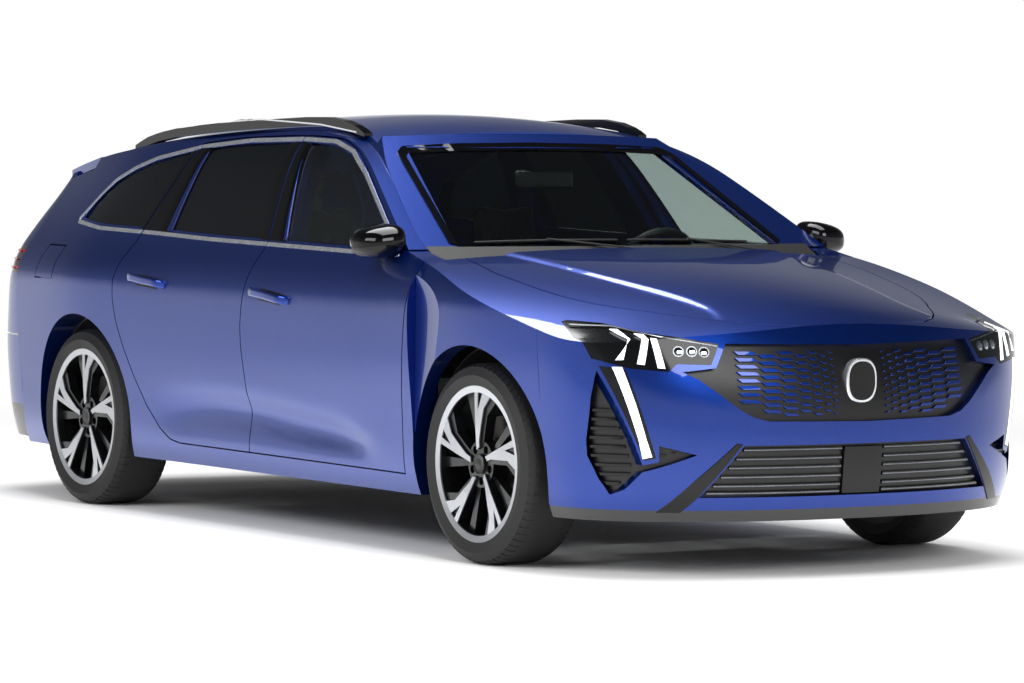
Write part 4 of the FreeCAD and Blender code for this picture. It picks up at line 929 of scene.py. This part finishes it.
@dataclass
class LowerGrille:
    """Slats, sensor panel and sloping frames of the lower intake."""

    slats: tuple = (398, 370, 343, 315, 288, 266)
    edge: Pairs = ((252, 540), (412, 415))
    margin: float = 14
    inner_end: float = 80
    slat_half: float = 5
    line_half: float = 1.5
    lifts: tuple[float, float, float] = (11.0, 11.8, 14.0)
    panel_half: float = 72
    panel_levels: tuple[float, float] = (404, 258)
    frame_outer: Pairs = ((-446, 420), (-560, 310), (-655, 206))
    frame_inner: Pairs = ((-427, 416), (-498, 322), (-560, 240), (-592, 206))

    def build(self) -> None:
        """Put in the slats with their bright edges, the panel and the frames."""
        skin = Skin(View.NOSE, "grilles")
        slats = Piece("intake_slats", "body", "gloss_black", "black_trim")
        lines = Piece("intake_slat_edges", "body", "reflector", "black_trim")
        for z in self.slats:
            reach = between(self.edge, z) - self.margin
            for side in (-1, 1):
                ends = (side * self.inner_end, side * reach)
                for piece, half, lift in ((slats, self.slat_half, self.lifts[0]),
                                          (lines, self.line_half, self.lifts[1])):
                    piece.slab(skin, ends, (z + half, z - half), lift, 1.0, 16, 3)
        slats.build()
        lines.build()
        panel = Piece("sensor_panel", "body", "gloss_black", "black_trim")
        panel.slab(skin, (-self.panel_half, self.panel_half), self.panel_levels, self.lifts[2], 1.0, 9, 7)
        panel.build(2.0)
        frames = Piece("intake_frames", "body", "gloss_black", "black_trim")
        frames.patch(Skin(View.NOSE, "front_bumper"), self.frame_outer, self.frame_inner, 2.5, 2.0, 16, 4)
        frames.mirror().build(1.5)


# --------------------------------------------------------------------------- tail


@dataclass
class TailLights:
    """Red light guides on the smoked tail lenses, the high brake light and the reflectors."""

    corner: tuple = (((-722, 908), (-868, 910)), ((-722, 878), (-870, 878)), ((-722, 848), (-868, 846)))
    flank: tuple = (((-1862, 908), (-1985, 908)), ((-1862, 848), (-1990, 846)))
    gate: tuple = (((-432, 904), (-680, 914)), ((-432, 880), (-682, 882)), ((-432, 860), (-684, 850)))
    high: Pairs = ((-170, 1272), (170, 1272))
    reflector: Pairs = ((-560, 396), (-740, 404))
    widths: tuple[float, float, float] = (7.0, 9.0, 26.0)
    lift: float = 0.8

    def build(self) -> None:
        """Lay the guides on both sides."""
        guide, high_width, reflector_width = self.widths
        corner = Piece("tail_light_guides", "body", "tail_red", "tail_lens")
        gate = Piece("gate_light_guides", "tailgate", "tail_red", "tail_lens")
        for piece, skin, lines, along in (
            (corner, Skin(View.TAIL, "tail_lamps"), self.corner, 14),
            (corner, Skin(View.SIDE, "tail_lamps"), self.flank, 12),
            (gate, Skin(View.TAIL, "tailgate_lamps"), self.gate, 16),
        ):
            for line in lines:
                piece.strip(skin, line, guide, self.lift, 1.0, along)
        corner.mirror().build()
        gate.mirror().build()
        high = Piece("high_brake_light", "tailgate", "tail_red", "tail_lens")
        high.strip(Skin(View.TAIL, "tailgate"), self.high, high_width, self.lift, 1.0, 24)
        high.build()
        # The reflectors take the red guides' finish, with its faint painted glow.
        reflectors = Piece("rear_reflectors", "body", "tail_red", "tail_lens")
        reflectors.strip(Skin(View.TAIL, "rear_bumper"), self.reflector, reflector_width, 1.5, 1.5, 16)
        reflectors.mirror().build(0.8)


@dataclass
class TailTrim:
    """Blank number plate in its holder, wiper and bumper step."""

    plate_half: float = 255.0
    plate_levels: tuple[float, float] = (792.0, 688.0)
    holder_half: float = 272.0
    holder_levels: tuple[float, float] = (804.0, 678.0)
    blade: Pairs = ((0, 1006), (-60, 1014), (-140, 1024), (-250, 1036), (-330, 1044))
    blade_half: tuple[float, float] = (3.5, 7.0)
    blade_lift: float = 0.011
    hub: Pairs = ((-2, 0), (-2, 18), (10, 17), (15, 11), (16, 0))
    step: Pairs = ((-2262, -470), (-2288, -240), (-2294, 0), (-2288, 240), (-2262, 470))
    step_width: float = 26.0

    def build(self) -> None:
        """Put the pieces on the tailgate and the bumper."""
        gate = Skin(View.TAIL, "tailgate")
        holder = Piece("plate_holder", "tailgate", "dark_plastic", "dark_plastic")
        holder.slab(gate, (-self.holder_half, self.holder_half), self.holder_levels, 2.0, 2.0, 16, 7)
        holder.build(0.8)
        plate = Piece("blank_plate", "tailgate", "reflector", "dark_plastic")
        plate.slab(gate, (-self.plate_half, self.plate_half), self.plate_levels, 4.5, 1.0, 16, 5)
        plate.build(0.6)
        glass = Skin(View.TAIL, "tailgate_glass", "tailgate")
        wiper = Piece("rear_wiper", "tailgate", "dark_plastic", "dark_plastic")
        path = [glass.point(*mark) for mark in self.blade]
        wiper.bar([p + n * self.blade_lift for p, n in path], self.blade_half)
        wiper.turned(*glass.point(*self.blade[0]), self.hub, 24)
        wiper.build()
        step = Piece("bumper_step", "body", "dark_plastic", "dark_plastic")
        step.strip(Skin(View.TOP, "rear_bumper"), self.step, self.step_width, 1.0, 1.5, 32)
        step.build()


# --------------------------------------------------------------------------- fittings


@dataclass
class DoorFittings:
    """Strap handles of the four doors, each on a dark patch of painted shade for its recess, and the mirrors."""

    straps: tuple = (("front_door", (4, 818), (262, 794)), ("rear_door", (-876, 840), (-628, 820)))
    rise: tuple = ((0.0, -3.0), (0.03, 12.0), (0.09, 22.0), (0.2, 24.0), (0.5, 25.0), (0.8, 24.0),
                   (0.91, 22.0), (0.97, 12.0), (1.0, -3.0))
    strap_half: tuple[float, float] = (4.5, 14.0)
    # Width of the dark patch of painted shade round each handle, in mm.
    cup_width: float = 40.0
    middle: Vector = field(default_factory=lambda: Vector((0.80, -0.886, 1.006)))
    housing: tuple[float, float, float] = (0.085, 0.080, 0.055)
    housing_power: float = 0.72
    housing_points: int = 28
    housing_rows: int = 20
    nose_depth: float = 1.35
    back_depth: float = 0.5
    arm: tuple = ((0.80, -0.86, 0.962), (0.79, -0.83, 0.952), (0.79, -0.800, 0.955))
    arm_half: tuple[float, float] = (22, 9)
    glass: Pairs = ((0, 0), (0, 46), (3.0, 46), (4.0, 44), (4.4, 0))
    glass_stretch: float = 1.45

    def build(self) -> None:
        """Build the right-hand pieces and their mirror images."""
        for door, first, last in self.straps:
            def at(share: float, drop: float = 0) -> tuple[float, float]:
                """Return the drawn place at a share of the strap's length."""
                return tuple(a + (b - a) * share - d for a, b, d in zip(first, last, (0, drop)))

            skin = Skin(View.SIDE, f"{door}_right")
            handle = Piece(f"handle_{door}_right", f"{door}_right", "paint", "body_paint")
            path = [(skin.point(*at(share)), lift) for share, lift in self.rise]
            handle.bar([place + normal * lift * MM for (place, normal), lift in path], self.strap_half, 12)
            # A dark sheet round each handle: painted shade standing in for the shadowed recess behind the strap.
            recess_shade = Piece(f"handle_cup_{door}_right", f"{door}_right", "grille_black", "black_trim")
            recess_shade.strip(skin, [at(0.2, 2), at(0.8, 2)], self.cup_width, 0.35, 0.5, 14)
            handle.pair()
            recess_shade.pair()
        self.mirrors()

    def mirrors(self) -> None:
        """Build the rounded mirror housings on their arms, with their glasses."""
        housing = Piece("mirror_housing_right", "front_door_right", "gloss_black", "black_trim")
        length, width, height = self.housing
        loops = []
        for i in range(1, self.housing_rows):
            v = math.pi * i / self.housing_rows
            loops.append([])
            for u in angles(self.housing_points):
                ball = (math.cos(u) * math.sin(v), math.cos(v), math.sin(u) * math.sin(v))
                x, y, z = (squared(c, self.housing_power) for c in ball)
                depth = length * (self.nose_depth if x > 0 else self.back_depth)
                loops[-1].append(self.middle + Vector((
                    x * depth * (1 + 0.12 * y), y * width, z * height * (1 + 0.14 * y) + 0.008 * y)))
        housing.tube(loops)
        housing.bar([Vector(p) for p in self.arm], self.arm_half, 10)
        glass = Piece("mirror_glass_right", "front_door_right", "mirror", "glass")
        back = self.middle - Vector((length * self.back_depth - 0.003, 0, 0))
        glass.turned(back, Vector((-1, 0, 0)), self.glass, 40)
        for place in glass.vertices:
            place.y = self.middle.y + (place.y - self.middle.y) * self.glass_stretch
        left, right = housing.pair()
        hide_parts("mirror_left")
        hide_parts("mirror_right")
        glass.pair()


@dataclass
class RoofTrim:
    """Bright strips on the roof rails' outer faces, the screen's black band and its two wipers."""

    line: Pairs = ((-1440, 1388), (-1000, 1404), (-500, 1404), (-100, 1388), (150, 1362))
    line_width: float = 5.0
    edge: Pairs = ((0, 1318), (-300, 1314), (-522, 1304), (-548, 1290), (-650, 1000))
    edge_width: float = 24.0
    wipers: tuple = (((985, 60), ((905, -10), (893, -560))), ((985, 560), ((900, 520), (905, 30))))
    hub: Pairs = ((-2, 0), (-2, 13), (9, 12), (13, 7), (14, 0))
    arm_lift: float = 0.012
    blade_lift: float = 0.006
    blade_steps: int = 12

    def build(self) -> None:
        """Build the strips, the band and the wipers."""
        rails = Piece("rail_strips", "body", "chrome", "black_trim")
        rails.strip(Skin(View.SIDE, "roof_rails"), self.line, self.line_width, 0.8, 1.0, 40)
        rails.mirror().build()
        band = Piece("screen_band", "body", "gloss_black", "black_trim")
        front = Skin(View.NOSE, "windscreen_frame", "windscreen")
        for edge in (self.edge, [(-y, z) for y, z in reversed(self.edge)]):
            band.strip(front, edge, self.edge_width, 1.0, 1.5, 60)
        band.build()
        screen = Skin(View.TOP, "windscreen", "windscreen_frame")
        wipers = Piece("screen_wipers", "body", "dark_plastic", "dark_plastic")
        for foot, (start, end) in self.wipers:
            wipers.turned(*screen.point(*foot), self.hub, 20)
            joint = tuple((a + b) / 2 for a, b in zip(start, end))
            marks = [tuple(a + (b - a) * k / self.blade_steps for a, b in zip(start, end))
                     for k in range(self.blade_steps + 1)]
            for places, lift, half in (((foot, joint), self.arm_lift, (5.0, 3.5)),
                                       (marks, self.blade_lift, (5.5, 3.5))):
                wipers.bar([p + n * lift for p, n in (screen.point(*m) for m in places)], half)
        wipers.build()


# --------------------------------------------------------------------------- wheels


def ring_tree() -> Tree:
    """Make the node tree that turns copies of a shape round an axle through a pivot, along Y."""
    tree = bpy.data.node_groups.new("ring_of_copies", "GeometryNodeTree")
    face = tree.interface
    for name, kind in (("Geometry", "NodeSocketGeometry"), ("Count", "NodeSocketInt"),
                       ("Pivot", "NodeSocketVector"), ("Finish", "NodeSocketMaterial")):
        face.new_socket(name, in_out="INPUT", socket_type=kind)
    face.new_socket("Geometry", in_out="OUTPUT", socket_type="NodeSocketGeometry")
    given = add_node(tree, "NodeGroupInput").outputs
    single = output(tree, "GeometryNodeGeometryToInstance", links={0: given["Geometry"]})
    copies = add_node(tree, "GeometryNodeDuplicateElements", {"domain": "INSTANCE"},
                      {"Geometry": single, "Amount": given["Count"]}).outputs
    step = output(tree, "ShaderNodeMath", {"operation": "DIVIDE"}, {0: 2 * math.pi, 1: given["Count"]})
    turn = output(tree, "ShaderNodeMath", {"operation": "MULTIPLY"}, {0: copies["Duplicate Index"], 1: step})
    turned = output(tree, "GeometryNodeRotateInstances", links={
        "Instances": copies["Geometry"], "Pivot Point": given["Pivot"], "Local Space": False,
        "Rotation": output(tree, "ShaderNodeCombineXYZ", links={"Y": turn})})
    whole = output(tree, "GeometryNodeRealizeInstances", links={0: turned})
    dressed = output(tree, "GeometryNodeSetMaterial", links={0: whole, "Material": given["Finish"]})
    add_node(tree, "NodeGroupOutput", links={0: dressed})
    return tree


@dataclass
class Wheels:
    """Shoulder tread, wheel bolts, blank caps and calipers."""

    half_track: float = 0.78
    axle_z: float = 0.3185
    axles: tuple = (("front", 1.437), ("rear", -1.295))
    tread_blocks: int = 68
    tread: Pairs = ((58, 318.45), (78, 317.9), (90, 313.2), (99, 307.6))
    tread_half: float = 9
    tread_depth: float = 5
    bolts: int = 5
    bolt_circle: float = 54.0
    bolt_turn: float = -15.0
    bolt: Pairs = ((64, 0), (64, 8.5), (74, 8.5), (75.5, 7), (75.5, 4.5), (70, 4), (70, 0))
    cap: Pairs = ((82, 0), (82, 31.5), (92, 31.5), (93, 30), (92.2, 28), (93.6, 14), (94, 0))
    caliper_radius: float = 0.143
    caliper_inset: float = 0.006
    caliper_arc: Sequence[int] = range(-26, 27, 4)
    calipers: dict = field(default_factory=lambda: {"front": (20, (24.0, 36.0)), "rear": (160, (20.0, 34.0))})

    def build(self) -> None:
        """Dress the four wheels."""
        tree = ring_tree()
        for axle, x in self.axles:
            for side, sign in (("right", -1), ("left", 1)):
                centre = Vector((x, sign * self.half_track, self.axle_z))
                out = Vector((0, sign, 0))
                body = f"wheel_{axle}_{side}"
                self.ring(tree, self.shoulders(centre), body, self.tread_blocks, centre)
                self.ring(tree, self.one_bolt(centre, out, sign), body, self.bolts, centre)
                cap = Piece(f"wheel_cap_{axle}_{side}", body, "gloss_black", "black_trim")
                cap.turned(centre, out, self.cap, 48)
                cap.build()
                self.caliper(axle, side, centre, sign)

    def shoulders(self, centre: Vector) -> Piece:
        """Return one pitch of shoulder blocks, at the tyre's top."""
        block = Piece("shoulder_tread", "", "rubber", "tyre_rubber")
        half = self.tread_half
        for flip in (-1, 1):
            outer, inner = ([[centre + Vector((w * MM, flip * across * MM, (radius - depth) * MM))
                              for w in (-half, half)] for across, radius in self.tread]
                            for depth in (0, self.tread_depth))
            block.shell(outer, inner)
        return block

    def one_bolt(self, centre: Vector, out: Vector, sign: int) -> Piece:
        """Return one wheel bolt in its recess."""
        turn = math.radians(self.bolt_turn)
        place = centre + Vector((-sign * math.cos(turn), 0, math.sin(turn))) * self.bolt_circle * MM
        bolt = Piece("wheel_bolts", "", "steel", "steel")
        bolt.turned(place, out, self.bolt, 12)
        return bolt

    def ring(self, tree: Tree, seed: Piece, body: str, count: int, centre: Vector) -> None:
        """Turn copies of a piece round its axle, as one plain mesh.

        Args:
            tree: The ring tree.
            seed: The shape that is repeated.
            body: The CAD body that the ring rides on.
            count: How many copies.
            centre: The axle's place.
        """
        source = placed(f"{seed.name}_{body}", seed.mesh())
        maker = source.modifiers.new("ring", "NODES")
        maker.node_group = tree
        named = {s.name: s.identifier for s in tree.interface.items_tree if s.in_out == "INPUT"}
        maker[named["Count"]] = count
        maker[named["Pivot"]] = tuple(centre)
        maker[named["Finish"]] = WORKSHOP.material(seed.finish)
        apply_modifiers(source)
        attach(source, body)

    def caliper(self, axle: str, side: str, centre: Vector, sign: int) -> None:
        """Build the brake caliper astride the disc."""
        body = f"knuckle_{side}" if axle == "front" else "body"
        caliper = Piece(f"caliper_{axle}_{side}", body, "caliper", "cast_iron")
        lead, half = self.calipers[axle]
        path = [centre + Vector((self.caliper_radius * math.cos(t), -sign * self.caliper_inset,
                                 self.caliper_radius * math.sin(t)))
                for t in (math.radians(lead + d) for d in self.caliper_arc)]
        caliper.bar(path, half, 12, Vector((0, 1, 0)))
        caliper.build()


# --------------------------------------------------------------------------- cabin


@dataclass
class Seats:
    """Padded seats: crowned cushions, leaning backs and head rests on low plinths.

    Each cushion has its side outline, half its width and its middles across the car.
    """

    voxel: float = 0.006
    pressure: float = 4.0
    frames: int = 20
    cushions: tuple = (
        ("front_cushion", ((-150, 430), (-120, 515), (285, 500), (290, 410), (0, 400)), 0.235, (-0.37, 0.37)),
        ("front_back", ((-175, 470), (-385, 915), (-335, 925), (-105, 520), (-110, 470)), 0.225,
         (-0.37, 0.37)),
        ("front_rest", ((-425, 960), (-455, 1085), (-405, 1098), (-360, 960)), 0.12, (-0.37, 0.37)),
        ("rear_cushion", ((-820, 410), (-800, 480), (-455, 470), (-450, 390)), 0.60, (0.0,)),
        ("rear_back", ((-890, 500), (-1055, 870), (-985, 890), (-810, 500)), 0.60, (0.0,)),
        ("rear_rest", ((-1085, 915), (-1120, 1022), (-1068, 1030), (-1020, 915)), 0.11, (-0.37, 0.37)),
    )
    posts: tuple = (((-0.36, 0.90), (-0.415, 1.0)), ((-1.02, 0.86), (-1.07, 0.97)))

    def build(self) -> None:
        """Build the cushions, and the rigid pieces under and behind them."""
        seen = {"front": "front_seats", "rear": "rear_seat"}
        for name, side, half, centres in self.cushions:
            mesh = self.pad(name, side, half)
            for number, centre in enumerate(centres):
                made = mesh.copy()
                made.transform(Matrix.Translation((0, centre, 0)))
                piece = placed(f"{name}_{number + 1}", made)
                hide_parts(seen[name.split("_")[0]])
                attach(piece, "body")
        plinths = Piece("seat_plinths", "body", "dark_plastic", "dark_plastic")
        for centre in (-370, 370):
            plinths.box((-150, centre - 190, 226), (200, centre + 190, 425))
            for y in ((centre - 60) * MM, (centre + 60) * MM):
                for ends in self.posts:
                    plinths.bar([Vector((x, y, z)) for x, z in ends], (5, 5))
        plinths.box((-790, -600, 226), (-470, 600, 420))
        plinths.build(4.0)

    def pad(self, name: str, side: Pairs, half: float) -> bpy.types.Mesh:
        """Blow a cushion up from its side outline.

        Args:
            name: The cushion's name.
            side: Its corners in mm, as x and z.
            half: Half its width in metres.

        Returns:
            The cushion's mesh.
        """
        seed = Piece(name, "body", "cloth", "seat_fabric")
        seed.vertices = [Vector((x * MM, y, z * MM)) for y in (-half, half) for x, z in side]
        count = len(side)
        seed.faces = [list(range(count)), [count + k for k in reversed(range(count))]]
        seed.faces += [[k, (k + 1) % count, count + (k + 1) % count, count + k] for k in range(count)]
        work = placed(f"{name}_seed", seed.mesh())
        bpy.context.view_layer.objects.active = work
        remesh = work.modifiers.new("remesh", "REMESH")
        remesh.mode, remesh.voxel_size = "VOXEL", self.voxel
        smooth = work.modifiers.new("ease", "SMOOTH")
        smooth.factor, smooth.iterations = 0.5, 8
        apply_modifiers(work)
        settings = work.modifiers.new("cloth", "CLOTH").settings
        settings.use_pressure, settings.uniform_pressure_force = True, self.pressure
        settings.effector_weights.gravity = 0.0
        settings.quality = 4
        for number in range(1, self.frames + 1):
            bpy.context.scene.frame_set(number)
        apply_modifiers(work)
        bpy.context.scene.frame_set(1)
        mesh = work.data
        mesh.shade_smooth()
        mesh.materials.clear()
        mesh.materials.append(WORKSHOP.material("cloth"))
        bpy.data.objects.remove(work)
        return mesh


@dataclass
class Cabin:
    """Inner mirror, centre display and instrument hood."""

    blocks: tuple = (
        ("inner_mirror", "gloss_black", (418, -115, 1172), (440, 115, 1232), 6.0),
        ("centre_display", "display", (728, -125, 800), (752, 125, 893), 4.0),
        ("instrument_hood", "vinyl", (770, 245, 905), (900, 495, 962), 14.0),
    )
    mirror_stem: tuple = ((0.43, 0, 1.225), (0.43, 0, 1.255))

    def build(self) -> None:
        """Build the pieces seen through the screen."""
        for name, finish, low, high, bevel in self.blocks:
            piece = Piece(name, "body", finish, "dark_plastic")
            piece.box(low, high)
            if name == "inner_mirror":
                piece.bar([Vector(p) for p in self.mirror_stem], (8, 8))
            piece.build(bevel)


# --------------------------------------------------------------------------- studio


@dataclass
class Studio:
    """Pale floor, soft lamps, white surroundings and the camera."""

    floor_radius: float = 14.0
    floor_fade: tuple[float, float] = (3.2, 7.5)
    lens_mm: float = 166.2
    camera_place: tuple[float, float, float] = (14.118, -8.684, 1.370)
    yaw: float = 2.5805
    pitch: float = -0.04157
    roll: float = 0.00724
    shift: tuple[float, float] = (-0.00963, -0.01354)
    soft_boxes: tuple = (
        ("top", (0.0, 0.0, 5.5), (7.0, 3.4), 520.0),
        ("side", (1.5, -6.5, 3.6), (6.0, 2.2), 260.0),
        ("front", (8.0, -1.0, 3.4), (4.0, 2.0), 200.0),
    )
    aim: tuple[float, float, float] = (0, 0, 0.6)
    room_levels: tuple[float, float] = (-0.2, 1.0)
    room: tuple = ((0.0, "ffffff"), (0.18, "ffffff"), (0.27, "84878c"), (0.6, "34363a"), (1.0, "26282b"))
    room_light: float = 0.5

    def build(self) -> None:
        """Make everything round the car."""
        bpy.context.scene.view_settings.view_transform = "Standard"
        self.camera()
        self.world()
        self.floor()
        self.lamps()

    def camera(self) -> None:
        """Place the camera."""
        data = bpy.data.cameras.new("camera")
        data.lens, data.sensor_width = self.lens_mm, 36.0
        data.shift_x, data.shift_y = self.shift
        data.clip_end = 200.0
        camera = placed("camera", data)
        turn = (Matrix.Rotation(self.yaw - math.pi / 2, 4, "Z")
                @ Matrix.Rotation(math.pi / 2 + self.pitch, 4, "X") @ Matrix.Rotation(self.roll, 4, "Z"))
        camera.matrix_world = Matrix.Translation(self.camera_place) @ turn
        bpy.context.scene.camera = camera

    def world(self) -> None:
        """Make the white surroundings: what the camera sees, what mirrors see and what gives light."""
        world = bpy.data.worlds.new("studio")
        bpy.context.scene.world = world
        tree = bare_tree(world)
        path = add_node(tree, "ShaderNodeLightPath").outputs
        way = add_node(tree, "ShaderNodeTexCoord").outputs["Generated"]
        up = add_node(tree, "ShaderNodeSeparateXYZ", links={0: way}).outputs["Z"]
        room = ramp(tree, mapped(tree, up, self.room_levels), self.room)
        plain = linear("ffffff")
        soft, seen, white = (
            output(tree, "ShaderNodeBackground", links={"Color": colour, "Strength": strength})
            for colour, strength in ((plain, self.room_light), (room, 1.0), (plain, 1.0)))
        mirrored = output(tree, "ShaderNodeMath", {"operation": "MAXIMUM"},
                          {0: path["Is Glossy Ray"], 1: path["Is Transmission Ray"]})
        light = output(tree, "ShaderNodeMixShader", links={0: mirrored, 1: soft, 2: seen})
        whole = output(tree, "ShaderNodeMixShader", links={0: path["Is Camera Ray"], 1: light, 2: white})
        add_node(tree, "ShaderNodeOutputWorld", links={0: whole})

    def floor(self) -> None:
        """Make the round floor that fades out into the white surroundings."""
        mesh = bpy.data.meshes.new("floor")
        grid = bmesh.new()
        bmesh.ops.create_circle(grid, cap_ends=True, radius=self.floor_radius, segments=96)
        grid.to_mesh(mesh)
        grid.free()
        floor = placed("floor", mesh)
        material = bpy.data.materials.new("studio_floor")
        tree = bare_tree(material)
        place = add_node(tree, "ShaderNodeTexCoord").outputs["Object"]
        length = add_node(tree, "ShaderNodeVectorMath", {"operation": "LENGTH"}, {0: place})
        near, far = self.floor_fade
        fade = output(tree, "ShaderNodeMapRange", {"interpolation_type": "SMOOTHSTEP"},
                      {"Value": length.outputs["Value"], "From Min": near, "From Max": far})
        matt = output(tree, "ShaderNodeBsdfDiffuse", links={"Color": linear("f4f4f4")})
        clear = output(tree, "ShaderNodeBsdfTransparent")
        whole = output(tree, "ShaderNodeMixShader", links={0: fade, 1: matt, 2: clear})
        add_node(tree, "ShaderNodeOutputMaterial", links={0: whole})
        mesh.materials.append(material)

    def lamps(self) -> None:
        """Hang the soft boxes."""
        for name, place, (length, width), power in self.soft_boxes:
            data = bpy.data.lights.new(name, "AREA")
            data.shape, data.size, data.size_y = "RECTANGLE", length, width
            data.energy = power
            lamp = placed(name, data)
            lamp.location = place
            lamp.rotation_euler = (Vector(self.aim) - Vector(place)).to_track_quat("-Z", "Y").to_euler()


PARTS = (Studio, SideTrim, HeadLamps, SideVents, UpperGrille, LowerGrille, TailLights, TailTrim, DoorFittings,
         RoofTrim, Wheels, Seats, Cabin)


def main() -> None:
    """Build the studio, dress the car and add its visual pieces."""
    logging.basicConfig(level=logging.INFO)
    WORKSHOP.dress_nodes()
    for part in PARTS:
        part().build()
        log.info("%s built", part.__name__)


if __name__ == "__main__":
    main()
